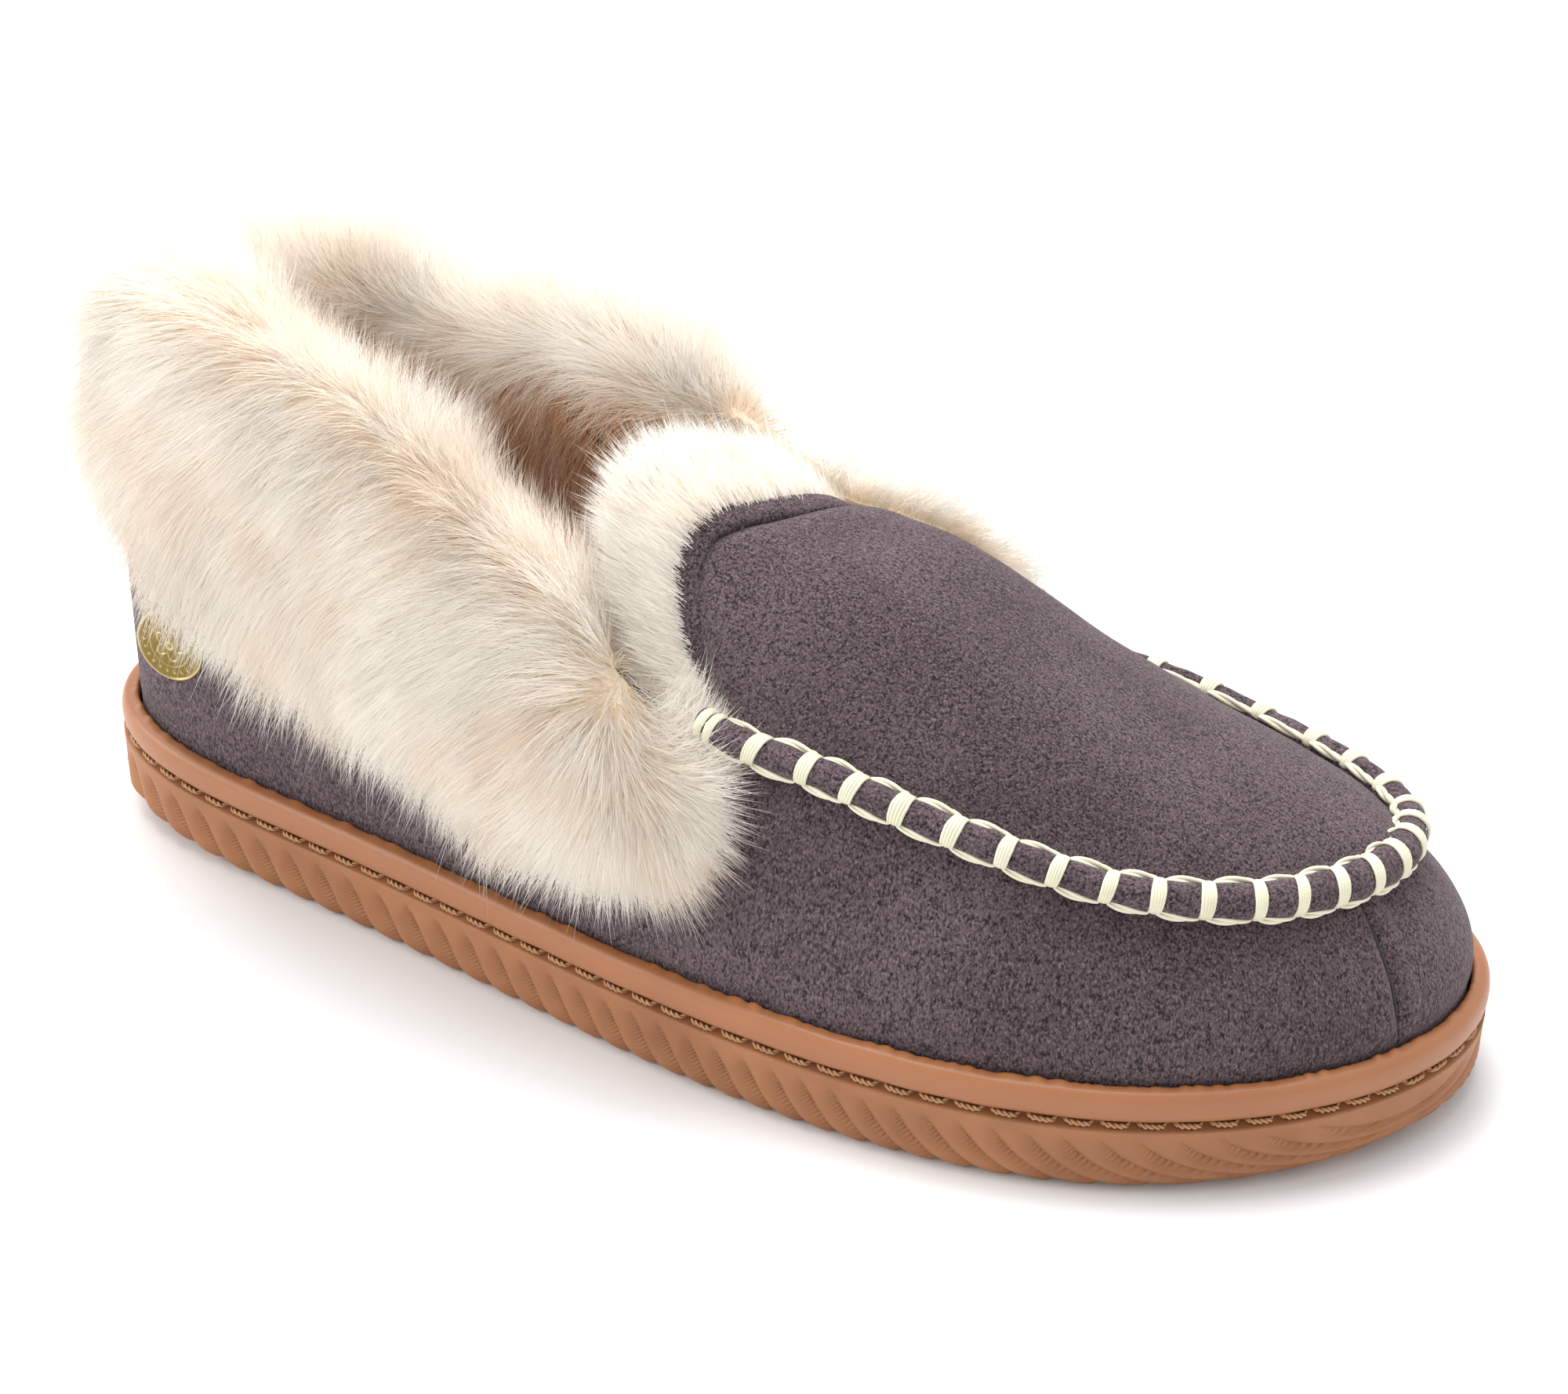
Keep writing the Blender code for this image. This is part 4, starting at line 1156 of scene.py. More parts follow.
@dataclass
class Apron:
    """Arched suede apron with a turned hem, a stitched crease and a fur lining behind it."""

    last: Last
    rear_across: tuple = (-1.0, -0.88, -0.72, -0.50, -0.20, 0.15, 0.50, 0.80, 1.0)
    rear_reach: tuple = (0.003, -0.004, -0.0085, -0.0095, -0.0065, -0.002, 0.003, 0.008, 0.012)
    toe_clearance: float = 0.0004
    tuck: float = 0.0026
    inner_bulge: float = 0.0080
    arch_power: float = 2.7
    hem_width: float = 0.0065
    hem_height: float = 0.0017
    crease: float = 0.0014
    drape: float = 0.00035
    lining_thickness: float = 0.0040
    lip: float = 0.0075
    length: float = 0.118
    crown_x: tuple = (-0.020, 0.010, 0.030, 0.045, 0.060, 0.080, 0.100, 0.125)
    crown_rise: tuple = (0.025, 0.027, 0.025, 0.021, 0.0160, 0.0110, 0.0070, 0.0020)

    def edge(self, depth: float, spread: float) -> tuple[Array, Array, Array]:
        """Places beside the ridge, from the inner side round the toe, before the shift.

        Args:
            depth: how far under the apron's face.
            spread: how far the edge is tucked into the ridge.

        Returns:
            Places, heights of the edge there, and the foremost one's number.
        """
        last = self.last
        u = np.linspace(last.ridge_first - 0.08, last.ridge_last + 0.08, 1600)
        reach = last.ridge_radius + last.layer_gap + depth - spread
        flat = last.place(u, last.top_inset(u) + reach, 0.0)[:, :2] - last.shift
        return flat, last.wall_top(u) + last.ridge_lift, int(flat[:, 0].argmax())

    def rear_x(self, across: Array) -> Array:
        """Rear edge, further back on the outer side."""
        return smooth_through(across, self.rear_across, self.rear_reach)

    def point(
        self, along: Array, across: Array, depth: float, behind: float = 0.0, spread: float = 0.0
    ) -> Array:
        """Place on the apron: along 0 is its rear edge and 1 its toe, across runs -1 to 1."""
        along, across = np.broadcast_arrays(along, across)
        flat, heights, tip = self.edge(depth, spread)
        rear = self.rear_x(across) - behind
        x = rear + (flat[tip, 0] - self.toe_clearance - rear) * along
        sides = [
            (np.interp(x, flat[part, 0], flat[part, 1]), np.interp(x, flat[part, 0], heights[part]))
            for part in (slice(None, tip - 1, -1), slice(0, tip + 1))
        ]
        (outer_y, outer_z), (inner_y, inner_z) = sides
        inner = np.clip(across, 0.0, None)
        y = 0.5 * (outer_y + inner_y) + 0.5 * (inner_y - outer_y) * across
        y = y + self.inner_bulge * inner**2 * (1 - eased(x, 0.005, 0.050))
        rise = smooth_through(x, self.crown_x, self.crown_rise) - 0.7 * depth
        power = self.arch_power + 2.3 * ramp(across, -0.2, 0.6) * (1 - eased(x, 0.030, 0.080))
        z = 0.5 * (outer_z + inner_z) - 0.3 * depth + rise * (1 - np.abs(across) ** power)
        return np.stack([x + self.last.shift[0], y + self.last.shift[1], z], -1)

    def normal(self, along: Array, across: Array, depth: float, behind: float = 0.0) -> Array:
        """Upward direction of the apron's face."""
        step = 0.004

        def slope(ahead: float, beside: float) -> Array:
            after = self.point(along + ahead, across + beside, depth, behind)
            return after - self.point(along - ahead, across - beside, depth, behind)

        return unit(np.cross(slope(step, 0.0), slope(0.0, step)))

    def make_face(self) -> bpy.types.Object:
        """The apron's sheet, dipping into the crease behind and under the ridge at its edge."""
        bound = self.hem_width / self.length
        column, row = unit_grid(150, 150)
        along = bound * 0.92 + (1 - bound * 0.92) * np.sin(0.5 * np.pi * row)
        across = np.sin(np.radians(-90 + 180 * column))
        places = self.point(along, across, 0.0, 0.0, self.tuck)
        up = self.normal(np.minimum(along, 0.99), across * 0.97, 0.0)
        from_crease = (along - bound * 0.92) * self.length
        dip = self.crease * np.exp(-((from_crease / 0.0016) ** 2))
        puff = 0.0006 * np.exp(-(((from_crease - 0.006) / 0.004) ** 2))
        free = 1 - np.abs(across) ** 12
        waves = Ripples(0.045, 41).at(places) + 0.4 * Ripples(0.016, 42).at(places)
        lift = (self.drape * waves + puff) * free - dip
        edge = np.maximum(np.abs(across), along) ** 40
        places = places + up * lift[..., None] - (0, 0, 0.0005) * edge[..., None]
        piece = sheet("suede_apron", places)
        return thickened(piece, self.last.suede, -1.0)

    def make_hem(self) -> bpy.types.Object:
        """Turned hem along the rear edge, round where the suede folds over."""
        across = np.sin(np.radians(np.linspace(-90, 90, 161)))
        share = 0.5 * self.hem_width / self.length
        core = self.point(share, across, 0.0)
        up = self.normal(share, across * 0.97, 0.0)
        back = unit(self.point(0.0, across, 0.0) - self.point(2 * share, across, 0.0))
        side = unit(np.cross(up, tangents(core)))
        side = side * np.sign((side * back).sum(-1, keepdims=True))
        lumps = 1 + 0.05 * Ripples(0.008, 43).at(core)
        turn = np.linspace(0, 2 * np.pi, 29)[:, None]
        wide = np.sign(np.cos(turn)) * np.abs(np.cos(turn)) ** 0.7 * 0.5 * self.hem_width * 1.02
        high = np.sign(np.sin(turn)) * np.abs(np.sin(turn)) ** 0.8 * self.hem_height * lumps
        curl = -0.0007 * ramp(np.cos(turn), 0.2, 1.0)
        places = core + side * wide[..., None] + up * (high + curl - 0.0011)[..., None]
        return sheet("suede_hem", places, (False, True), True)

    def make_lining(self) -> bpy.types.Object:
        """Backing of the fur lining, from its lip behind the hem to the toe."""
        column, row = unit_grid(60, 60)
        across = np.sin(np.radians(-90 + 180 * column))
        depth = self.last.suede + 2 * self.last.layer_gap
        piece = sheet("apron_lining_pelt", self.point(0.97 * row, across, depth, self.lip))
        return thickened(piece, self.lining_thickness, -1.0)

    def build(self, suede: bpy.types.Material, pelt: bpy.types.Material) -> None:
        """Makes and dresses the apron's pieces."""
        ridden(self.make_face(), suede, Slot.SUEDE, "apron")
        ridden(self.make_hem(), suede, Slot.SUEDE, "apron_binding")
        ridden(self.make_lining(), pelt, Slot.FUR, "apron_lining")
        dark = Yarn("crease_thread", tone(60, 50, 54), tone(34, 28, 31), 0.8).material()
        redress("binding_thread", dark)


# Fur -----------------------------------------------------------------------------------------


@dataclass
class Coat:
    """Where hairs grow and how they lie: one entry per hair in each array."""

    roots: Array
    up: Array
    comb: Array
    length: Array
    lean: Array
    curl: Array
    tone: Array


@dataclass
class Pile:
    """Plants hairs: thin tapered blades of a few faces, gathered into soft locks."""

    seed: int
    width: float = 0.00015
    lock: float = 0.0042
    gather: float = 0.45
    stray: float = 0.13
    ceiling: float = 0.1256
    squash_from: float = 0.112
    steps: tuple = (0.0, 0.34, 0.70, 1.0)
    tapers: tuple = (1.0, 0.95, 0.62, 0.0)

    def bend(self, coat: Coat, share: float) -> Array:
        """Places at a share of each hair's length, before it is gathered into a lock."""
        start, turn = coat.lean, np.where(np.abs(coat.curl) < 0.01, 0.01, coat.curl)
        rise = (np.sin(start + turn * share) - np.sin(start)) / turn
        run = (np.cos(start) - np.cos(start + turn * share)) / turn
        return coat.roots + (coat.up * rise[:, None] + coat.comb * run[:, None]) * coat.length[:, None]

    def plant(self, name: str, coat: Coat) -> bpy.types.Object:
        """Mesh of all the hairs in a coat.

        Args:
            name: the piece's name.
            coat: its hairs.

        Returns:
            The piece, with UV U holding each hair's tone and V running from root to tip.
        """
        draw = np.random.default_rng(self.seed)
        count = len(coat.roots)
        cells = np.floor(coat.roots / self.lock + draw.uniform(-0.35, 0.35, (count, 3))).astype(int)
        _, lock = np.unique(cells, axis=0, return_inverse=True)
        lock = lock.reshape(-1)
        size = np.bincount(lock)
        tips = self.bend(coat, 1.0)
        centres = np.stack([np.bincount(lock, tips[:, k]) / size for k in range(3)], 1)[lock]
        pull = self.gather * draw.uniform(0.3, 1.0, count)[:, None]
        wild = draw.normal(size=(count, 3)) * self.stray * coat.length[:, None]
        axis = unit(np.cross(coat.comb, coat.up))
        twist = draw.uniform(-1.0, 1.0, count)[:, None]
        blade = unit(axis * np.cos(twist) + coat.up * np.sin(twist))
        rows = []
        for share, taper in zip(self.steps, self.tapers):
            middle = self.bend(coat, share)
            middle = middle + (centres - tips) * pull * share**1.6 + wild * share**1.4
            half = 0.5 * self.width * taper * blade
            rows += [middle - half, middle + half] if taper else [middle]
        corners = len(rows)
        points = np.stack(rows, 1).reshape(-1, 3)
        room = self.ceiling - self.squash_from
        above = np.maximum(points[:, 2] - self.squash_from, 0.0)
        points[:, 2] += room * np.tanh(above / room) - above
        faces = np.array([(0, 1, 3, 2), (2, 3, 5, 4)])
        base = (np.arange(count) * corners)[:, None]
        loops = np.concatenate(
            [base + faces[0], base + faces[1], base + np.array([4, 5, 6])], 1
        ).ravel()
        sizes = np.tile([4, 4, 3], count)
        mesh = bpy.data.meshes.new(name)
        mesh.vertices.add(len(points))
        mesh.vertices.foreach_set("co", points.astype(np.float32).ravel())
        mesh.loops.add(len(loops))
        mesh.loops.foreach_set("vertex_index", loops.astype(np.int32))
        mesh.polygons.add(len(sizes))
        starts = np.concatenate([[0], np.cumsum(sizes)[:-1]])
        mesh.polygons.foreach_set("loop_start", starts.astype(np.int32))
        mesh.update(calc_edges=True)
        along = np.array([0, 0, self.steps[1], self.steps[1], self.steps[2], self.steps[2], 1.0])
        side = np.array([0, 1, 0, 1, 0, 1, 0.5])
        corner = loops % corners
        hair = loops // corners
        u = np.clip(coat.tone, 0.01, 0.985)[hair] + 0.004 * side[corner]
        uv = np.stack([u, along[corner]], 1)
        mesh.uv_layers.new(name="OFBake").uv.foreach_set("vector", uv.astype(np.float32).ravel())
        mesh.shade_smooth()
        soft = unit(coat.up + 0.3 * coat.comb * np.sin(coat.lean + coat.curl)[:, None])
        normals = np.repeat(soft, corners, 0) + 0.25 * np.repeat(draw.normal(size=(count, 3)), corners, 0)
        mesh.normals_split_custom_set_from_vertices(unit(normals).tolist())
        return placed(name, mesh)


@dataclass
class Collar:
    """Fur collar folded over the ankle's top edge and hanging outside it."""

    last: Last
    front_outer_x: float = 0.006
    front_inner_x: float = 0.037
    over_x: float = -0.006
    over_run: float = 0.022
    skin: float = 0.0042
    crown: float = 0.0036
    heel_crown: float = 0.0100
    heel_inside: float = 0.014
    hem_lift: float = 0.0080
    inner_rise: float = 0.0255
    whorl_x: float = -0.016
    whorl_reach: float = 0.035
    hair: float = 0.0150
    hairs: int = 200_000

    def __post_init__(self) -> None:
        """Finds where the collar starts and ends."""
        self.first = self.last.share_at_x(self.front_outer_x, False)
        self.final = self.last.share_at_x(self.front_inner_x, True)

    def ends(self, u: Array) -> Array:
        """1 along the collar, falling to 0 at its two front ends."""
        reach = np.minimum(u - self.first, self.final - u)
        return np.sqrt(np.clip(1 - (1 - ramp(reach, 0.0, 0.045)) ** 2, 0.0, 1.0))

    def hem_share(self, x: Array) -> Array:
        """How far the pelt's edge is held above the tips of its hair."""
        return 1 - 1.1 * eased(-x, 0.050, 0.100) + 0.9 * eased(-x, 0.104, 0.124)

    def section(self, u: Array, t: Array) -> Array:
        """Pelt's place: t 0 is the hem outside, 0.62 the fold's crown, 1 inside the ankle."""
        last = self.last
        over = ramp(-last.x(u), -self.over_x, -self.over_x + self.over_run)
        end = self.ends(u)
        heel = eased(-last.x(u), 0.078, 0.125)
        inner_front = last.inner_side(u) * eased(last.x(u), -0.078, -0.030)
        top = last.wall_top(u) + self.crown * (0.3 + 0.7 * over) - 0.003 * (1 - over)
        top = top + self.inner_rise * inner_front * end + self.heel_crown * heel
        hem = last.hem(u) + self.hem_lift * self.hem_share(last.x(u))
        low = hem + 0.62 * (top - hem) * (1 - end)
        high = top - 0.12 * (top - hem) * (1 - end)
        out = ramp(t, 0.0, 0.62)
        back = ramp(t, 0.62, 1.0)
        thick = self.skin * (0.35 + 0.65 * end) * (1 - 0.5 * heel)
        lift = np.sin(np.pi * np.clip(out, 0, 0.5)) * thick + 0.0012
        round_over = np.cos(0.5 * np.pi * ramp(out, 0.80, 1.0))
        z = low + (high - low) * out
        inset_out = last.wall_inset(u, np.minimum(z, last.wall_top(u))) - lift * round_over
        edge = last.wall_inset(u, last.wall_top(u))
        inside = 0.0090 * over - 0.001 * (1 - over) + self.heel_inside * heel
        inset = inset_out + (edge + inside - inset_out) * np.sin(0.5 * np.pi * back)
        fall = 0.012 * over * (1 - np.cos(0.5 * np.pi * back))
        return last.place(u, inset, z - fall)

    def directions(self, u: Array, t: Array) -> tuple[Array, Array, Array]:
        """Unit vectors off the pelt, down the pelt towards the hem, and along the collar."""
        du, dt = 0.0015, 0.01
        along = unit(self.section(u + du, t) - self.section(u - du, t))
        down = unit(self.section(u, t - dt) - self.section(u, t + dt))
        up = unit(np.cross(along, down))
        return up, down, along

    def make_pelt(self) -> bpy.types.Object:
        """The pelt under the hair."""
        column, row = unit_grid(260, 40)
        u = self.first + (self.final - self.first) * column
        places = self.section(u + 0 * row, row)
        piece = sheet("collar_pelt", places)
        return thickened(piece, 0.0009, 0.0)

    def coat(self, draw: np.random.Generator) -> tuple[Coat, Array]:
        """Hairs of the whole collar and each one's share along it."""
        count = self.hairs
        u = self.first + (self.final - self.first) * draw.random(count)
        t = draw.random(count)
        roots = self.section(u, t)
        up, down, along = self.directions(u, t)
        swirl = Ripples(0.030, 61).at(roots)
        ruffle = Ripples(0.011, 62).at(roots)
        end = (1 - self.ends(u))[:, None]
        heelward = along * np.tanh((0.5 * (self.first + self.final) - u) / 0.03)[:, None]
        whorl = self.section(self.last.share_at_x(self.whorl_x, False), 0.36)
        away = roots - whorl
        spin = 0.60 * np.exp(-((np.linalg.norm(away, axis=1) / self.whorl_reach) ** 2))[:, None]
        away = unit(away - up * (away * up).sum(-1, keepdims=True) + 0.012 * down)
        comb = down + heelward * (0.5 * ramp(t, 0.0, 0.5)[:, None] * (1 - end) - 0.5 * end)
        comb = unit(comb) * (1 - spin) + away * spin
        comb = comb + along * (0.30 * swirl + 0.18 * ruffle)[:, None]
        over = ramp(-self.last.x(u), -self.over_x, -self.over_x + self.over_run)
        start = 0.80 - 0.46 * (1 - over)
        turn = (np.pi * np.clip((t - start) / (0.20 + 0.08 * (1 - over)), 0, 1))[:, None]
        turn = turn + (0.55 * draw.normal(size=count) * np.exp(-(((t - 0.86) / 0.09) ** 2)))[:, None]
        way = heelward * (2 * over - 1)[:, None]
        comb = unit(unit(comb) * np.cos(turn) + way * np.sin(turn) + 0.05 * down - 0.6 * end * heelward)
        height = 0.5 + 0.5 * Ripples(0.019, 63).at(roots)
        length = self.hair * (0.78 + 0.24 * height + 0.12 * draw.normal(size=count))
        length = np.clip(length, 0.007, 0.020)
        crest = np.exp(-(((t - 0.84) / 0.12) ** 2))
        lean = np.radians(44 - 20 * crest * over + 8 * ruffle + 9 * draw.normal(size=count))
        curl = np.radians(30 - 6 * crest + 8 * swirl + 14 * draw.normal(size=count))
        warm = 0.12 + 0.20 * Ripples(0.024, 64).at(roots) + 0.16 * Ripples(0.009, 65).at(roots)
        inside = 0.75 * eased(t, 0.91, 1.0) * over
        shade = np.maximum(warm, 0.0) + 0.08 * np.abs(draw.normal(size=count)) + inside
        return Coat(roots, up, comb, length, lean, curl, shade), u

    def build(self, pelt: bpy.types.Material, fur: bpy.types.Material) -> None:
        """Makes and dresses the pelt and its hair, in stretches along the collar."""
        backing = ridden(self.make_pelt(), pelt, Slot.FUR, "fur_collar")
        coat, u = self.coat(np.random.default_rng(71))
        names = ("outer_front", "outer_side", "outer_heel", "inner_heel", "inner_side", "inner_front")
        cuts = np.linspace(self.first, self.final, len(names) + 1)
        for i, name in enumerate(names):
            here = (u >= cuts[i]) & (u < cuts[i + 1])
            part = Coat(*(getattr(coat, key)[here] for key in coat.__dataclass_fields__))
            hair = Pile(seed=80 + i).plant(f"collar_fur_{name}", part)
            ridden(hair, fur, Slot.FUR, "fur_collar")


@dataclass
class Lining:
    """Plush lining of the ankle and the footbed, and the lining's lip behind the apron."""

    last: Last
    apron: Apron
    sock_top: float = 0.0268
    wall_hair: float = 0.0085
    wall_hairs: int = 34_000
    lip_hair: float = 0.0098
    lip_hairs: int = 30_000
    sock_hairs: int = 16_000

    def wall_place(self, u: Array, row: Array) -> Array:
        """Inner face of the ankle's lining: row 0 at the footbed, 1 at the fold line."""
        last = self.last
        top = last.wall_top(u) - 0.002
        z = self.sock_top + (top - self.sock_top) * row
        inset = last.wall_inset(u, z) + last.lining_face - 0.0015
        return last.place(u, inset, z)

    def make_quarter(self) -> bpy.types.Object:
        """Backing of the ankle's lining."""
        last = self.last
        first = last.share_at_x(last.lining_join_x, False)
        final = last.share_at_x(last.lining_join_x, True)
        column, row = unit_grid(160, 20)
        u = first + (final - first) * column
        return sheet("ankle_lining_pelt", self.wall_place(u + 0 * row, row))

    def make_vamp(self) -> bpy.types.Object:
        """Backing of the toe's side lining."""
        last = self.last
        first = last.share_at_x(last.lining_join_x, True)
        final = 1 + last.share_at_x(last.lining_join_x, False)
        column, row = unit_grid(200, 14)
        u = first + (final - first) * column
        z = self.sock_top + (last.wall_top(u) - 0.0045 - self.sock_top) * row
        inset = last.wall_inset(u, z) + last.lining_face - 0.0015
        return sheet("toe_lining_pelt", last.place(u, inset, z))

    def sock_place(self, u: Array, share: Array) -> Array:
        """Top of the plush sock: share 0 at its edge, 1 on the middle line."""
        last = self.last
        base = last.rim_thickness + last.gap + last.lining_face - 0.001
        edge = last.place(u, base, self.sock_top)
        spine = Sole(last).spine(u) + (0, 0, self.sock_top)
        places = edge + (spine - edge) * np.asarray(share)[..., None]
        dent = 0.0012 * np.sin(0.5 * np.pi * np.asarray(share)) ** 2
        return places - np.stack([0 * dent, 0 * dent, dent], -1)

    def make_sock(self) -> bpy.types.Object:
        """Pelt of the footbed's plush top."""
        column, row = unit_grid(240, 8)
        places = self.sock_place(column + 0 * row, 0.97 * row + 0 * column)
        return sheet("plush_sock_pelt", places, (True, False), True)

    def wall_coat(self, draw: np.random.Generator) -> Coat:
        """Hairs on the ankle's inner face, combed down and inward."""
        last, count = self.last, self.wall_hairs
        first, final = last.share_at_x(0.004, False), last.share_at_x(0.004, True)
        u, row = first + (final - first) * draw.random(count), draw.random(count)
        roots = self.wall_place(u, row)
        along = unit(self.wall_place(u + 0.002, row) - self.wall_place(u - 0.002, row))
        down = unit(self.wall_place(u, row - 0.02) - self.wall_place(u, row + 0.02))
        up = -unit(np.cross(along, down))
        swirl = Ripples(0.026, 91).at(roots)
        comb = unit(down + along * (0.7 * swirl)[:, None])
        length = self.wall_hair * np.clip(1 + 0.2 * draw.normal(size=count), 0.5, 1.6)
        lean = np.radians(36 + 12 * swirl + 10 * draw.normal(size=count))
        curl = np.radians(34 + 14 * draw.normal(size=count))
        shade = 0.92 - 0.25 * eased(row, 0.4, 1.0) + 0.12 * Ripples(0.012, 92).at(roots)
        shade = shade + 0.08 * draw.normal(size=count)
        return Coat(roots, up, comb, length, lean, curl, shade)

    def sock_coat(self, draw: np.random.Generator) -> Coat:
        """Hairs on the footbed."""
        count = self.sock_hairs
        u, share = draw.random(count), 1 - np.sqrt(draw.random(count))
        roots = self.sock_place(u, share)
        up = np.tile([0.0, 0.0, 1.0], (count, 1))
        angle = 0.8 * Ripples(0.03, 93).at(roots)
        comb = np.stack([np.cos(angle), np.sin(angle), 0 * angle], 1)
        length = 0.0062 * np.clip(1 + 0.2 * draw.normal(size=count), 0.5, 1.6)
        lean = np.radians(30 + 10 * draw.normal(size=count))
        curl = np.radians(30 + 12 * draw.normal(size=count))
        shade = 0.92 + 0.12 * Ripples(0.014, 94).at(roots) + 0.08 * draw.normal(size=count)
        return Coat(roots, up, comb, length, lean, curl, shade)

    def lip_coat(self, draw: np.random.Generator) -> Coat:
        """Hairs on the lining's lip, combed back from under the hem."""
        apron, count = self.apron, self.lip_hairs
        depth = self.last.suede + 2 * self.last.layer_gap
        across = draw.uniform(-0.995, 0.995, count)
        reach = (apron.lip + 0.0045) / apron.length
        along = draw.random(count) * reach
        roots = apron.point(along, across, depth, apron.lip)
        up = apron.normal(along, across * 0.97, depth, apron.lip)
        back = unit(apron.point(along - 0.01, across, depth, apron.lip) - roots)
        edge = (1 - ramp(along / reach, 0.0, 0.45))[:, None]
        side = unit(np.cross(up, back))
        swirl = Ripples(0.014, 95).at(roots)
        comb = unit(back + side * (0.25 * swirl)[:, None])
        up = unit(up + 0.5 * edge * back)
        length = self.lip_hair * np.clip(1 + 0.18 * draw.normal(size=count), 0.5, 1.5)
        lean = np.radians(48 - 18 * edge[:, 0] + 8 * draw.normal(size=count))
        curl = np.radians(24 + 12 * draw.normal(size=count))
        shade = 0.10 + 0.12 * swirl + 0.08 * draw.normal(size=count)
        return Coat(roots, up, comb, length, lean, curl, shade)

    def build(self, pelt: bpy.types.Material, fur: bpy.types.Material) -> None:
        """Makes and dresses the lining's pelts and hair, and the layers under the foot."""
        shaded = Pelt("fur_backing_inside", tone(214, 170, 122), tone(184, 138, 92)).material()
        ridden(self.make_quarter(), shaded, Slot.FUR, "quarter_lining")
        ridden(self.make_vamp(), shaded, Slot.FUR, "vamp_lining")
        sock = ridden(self.make_sock(), shaded, Slot.FUR, "plush_sock")
        draw = np.random.default_rng(101)
        piles = {
            "ankle_lining_fur": (self.wall_coat(draw), "quarter_lining"),
            "plush_sock_fur": (self.sock_coat(draw), "plush_sock"),
            "apron_lip_fur": (self.lip_coat(draw), "apron_lining"),
        }
        for i, (name, (coat, node)) in enumerate(piles.items()):
            ridden(Pile(seed=110 + i).plant(name, coat), fur, Slot.FUR, node)
        foam = Plain("footbed_foam", tone(226, 222, 212), tone(200, 194, 180), scale=1600).material()
        board = Plain("fibre_board", tone(196, 178, 150), tone(160, 142, 116)).material()
        redress("midsole_filler", foam)
        redress("footbed_foam", foam)
        redress("insole_board", board)


# Badge ---------------------------------------------------------------------------------------


@dataclass
class Badge:
    """Round brass badge with a sunk field, a plain petal figure and a ring of dots."""

    last: Last
    radius: float = 0.0074
    thickness: float = 0.0012
    standoff: float = 0.0009
    x: float = -0.1115
    height: float = 0.045
    petals: int = 5
    dots: int = 22

    def frame(self) -> Matrix:
        """Centre of the badge's back on the panel, with Z outward."""
        last = self.last
        u = last.share_at_x(self.x, False)

        def on_wall(share: float, z: float) -> Vector:
            return Vector(last.place(share, last.wall_inset(share, z), z))

        centre = on_wall(u, self.height)
        outward = (on_wall(u, self.height + 0.004) - centre).cross(on_wall(u + 0.004, self.height) - centre)
        if outward.dot(Vector((*last.outward(u), 0.0))) < 0:
            outward.negate()
        return Matrix.Translation(centre) @ outward.to_track_quat("Z", "Y").to_matrix().to_4x4()

    def relief(self, r: Array, turn: Array) -> Array:
        """Height of the face at a share r of the radius."""
        rim = np.exp(-(((r - 0.95) / 0.035) ** 2))
        petal = 0.20 + 0.24 * np.abs(np.cos(0.5 * self.petals * turn))
        figure = np.exp(-(((r - petal) / 0.035) ** 2)) + np.exp(-(((r - 0.10) / 0.05) ** 2))
        ring = np.exp(-(((r - 0.60) / 0.02) ** 2)) * 0.6
        beads = np.exp(-(((r - 0.77) / 0.05) ** 2)) * np.clip(np.cos(self.dots * turn), 0, 1) ** 2
        return np.clip(rim + figure + ring + beads, 0, 1)

    def build(self) -> None:
        """Makes and dresses the badge and dresses its washer."""
        column, row = unit_grid(220, 60)
        turn = 2 * np.pi * column
        r = np.clip(1.02 * row, 0.004, 1.0)
        high = self.relief(r, turn)
        z = self.standoff + self.thickness - 0.00030 + 0.00028 * high - 0.0010 * ramp(row, 0.965, 1.0) ** 2
        back = row > 0.985
        z = np.where(back, self.standoff, z)
        flat = np.stack([self.radius * r * np.cos(turn), self.radius * r * np.sin(turn), z + 0 * turn], -1)
        under = flat[-1:] * (0.3, 0.3, 1.0)
        shank = np.array([under[0], under[0] - (0, 0, 0.0035)])
        places = np.concatenate([flat, shank])
        world = np.array(self.frame())
        places = places @ world[:3, :3].T + world[:3, 3]
        sunk = np.concatenate([1 - high, np.ones((2, turn.shape[1]))])
        piece = sheet("brass_badge", places, (True, False), True, {"sunk": sunk})
        ridden(piece, Brass("brushed_brass").material(), Slot.BRASS, "badge_disc")
        steel = Plain("steel_washer", tone(200, 200, 204), tone(150, 150, 156), 0.35, 1.0).material()
        redress("badge_washer", steel)


# Studio --------------------------------------------------------------------------------------


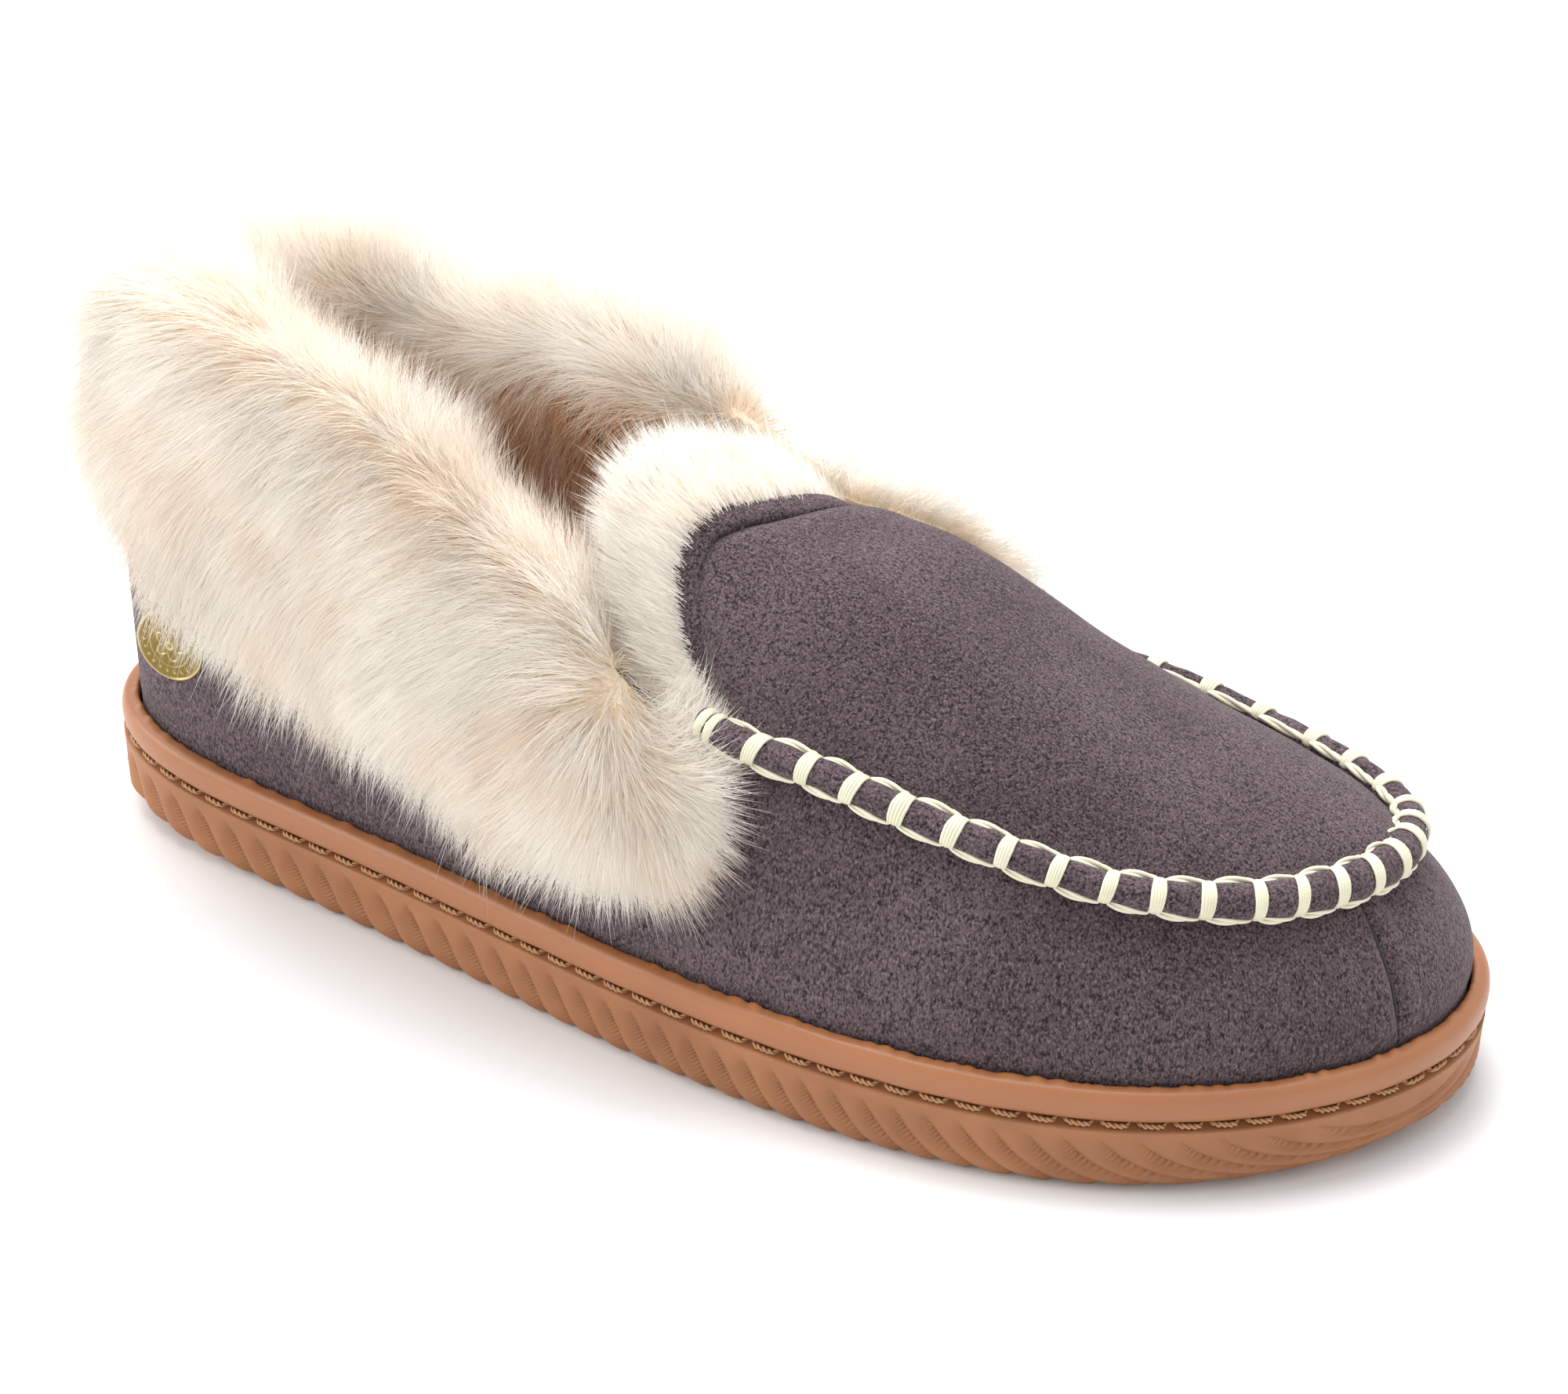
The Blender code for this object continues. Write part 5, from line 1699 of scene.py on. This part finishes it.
@dataclass
class Studio:
    """Pale floor, soft light and the camera."""

    last: Last
    target: tuple = (0.01478, -0.01780, 0.06479)
    azimuth: float = 25.306
    elevation: float = 31.01
    distance: float = 0.68006
    roll: float = 2.313
    lens: float = 89.09
    outline_offset: float = 0.0031
    surround: float = 0.95
    light_target: float = 0.04
    softboxes: tuple = (
        ("key", (-0.35, 0.35, 1.3), 1.1, 25.0),
        ("side", (-1.3, -0.6, 0.7), 0.9, 11.0),
    )

    def aim(self) -> Vector:
        """Point the camera looks at, in the slipper's own place."""
        moved = self.last.shift - np.array([self.outline_offset, 0.0])
        return Vector(self.target) + Vector((*moved, 0.0))

    def make_camera(self) -> None:
        """Camera with a long lens, a little above and ahead of the outer side."""
        camera = bpy.data.cameras.new("camera")
        camera.lens, camera.sensor_width = self.lens, 36.0
        camera.clip_start, camera.clip_end = 0.01, 20.0
        turn, rise = math.radians(self.azimuth), math.radians(self.elevation)
        back = Vector((
            math.sin(turn) * math.cos(rise), -math.cos(turn) * math.cos(rise), math.sin(rise)
        ))
        made = placed("camera", camera)
        rotation = (-back).to_track_quat("-Z", "Y").to_matrix().to_4x4()
        rotation = rotation @ Matrix.Rotation(math.radians(self.roll), 4, "Z")
        made.matrix_world = Matrix.Translation(self.aim() + back * self.distance) @ rotation
        bpy.context.scene.camera = made

    def make_floor(self) -> None:
        """Wide pale floor."""
        form = bmesh.new()
        bmesh.ops.create_grid(form, x_segments=8, y_segments=8, size=3.0)
        bmesh.ops.translate(form, verts=form.verts, vec=(0.0, 0.0, -0.0001))
        mesh = bpy.data.meshes.new("floor")
        form.to_mesh(mesh)
        form.free()
        floor = placed("floor", mesh)
        bench = Bench("pale_floor")
        mottle = bench.noise(bench.own_place(), 3.0)
        colour = bench.mix(mottle, (0.80, 0.80, 0.80), (0.82, 0.82, 0.82))
        mesh.materials.append(bench.dress(Base_Color=colour, Roughness=0.9))

    def add_softbox(self, name: str, place: tuple, size: float, power: float) -> None:
        """Square soft light aimed at the slipper."""
        lamp = bpy.data.lights.new(name, "AREA")
        lamp.shape, lamp.size, lamp.energy = "SQUARE", size, power
        made = placed(name, lamp)
        made.location = place
        towards = Vector((0, 0, self.light_target)) - Vector(place)
        made.rotation_euler = towards.to_track_quat("-Z", "Y").to_euler()

    def build(self) -> None:
        """Makes the floor, the lights and the camera."""
        scene = bpy.context.scene
        world = bpy.data.worlds.new("studio")
        world.use_nodes = True
        background = world.node_tree.nodes["Background"]
        background.inputs["Color"].default_value = (1, 1, 1, 1)
        background.inputs["Strength"].default_value = self.surround
        scene.world = world
        scene.view_settings.view_transform = "Standard"
        self.make_floor()
        for softbox in self.softboxes:
            self.add_softbox(*softbox)
        self.make_camera()


def main() -> None:
    """Builds the slipper's pieces in order, from the sole up."""
    logging.basicConfig(level=logging.INFO, format="%(name)s: %(message)s")
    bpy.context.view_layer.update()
    last = Last()
    Studio(last).build()
    Sole(last).build()
    Upper(last).build()
    edge_suede = Suede("grey_suede_edge", grain=2000.0, patch=60.0).material()
    apron_suede = Suede("grey_suede_apron", patch=40.0).material()
    Ridge(last).build(edge_suede)
    Whipstitch(last).build()
    pelt = Pelt("fur_backing").material()
    fur = Fur("cream_fur").material()
    apron = Apron(last)
    apron.build(apron_suede, pelt)
    Collar(last).build(pelt, fur)
    Lining(last, apron).build(pelt, fur)
    Badge(last).build()


if __name__ == "__main__":
    main()
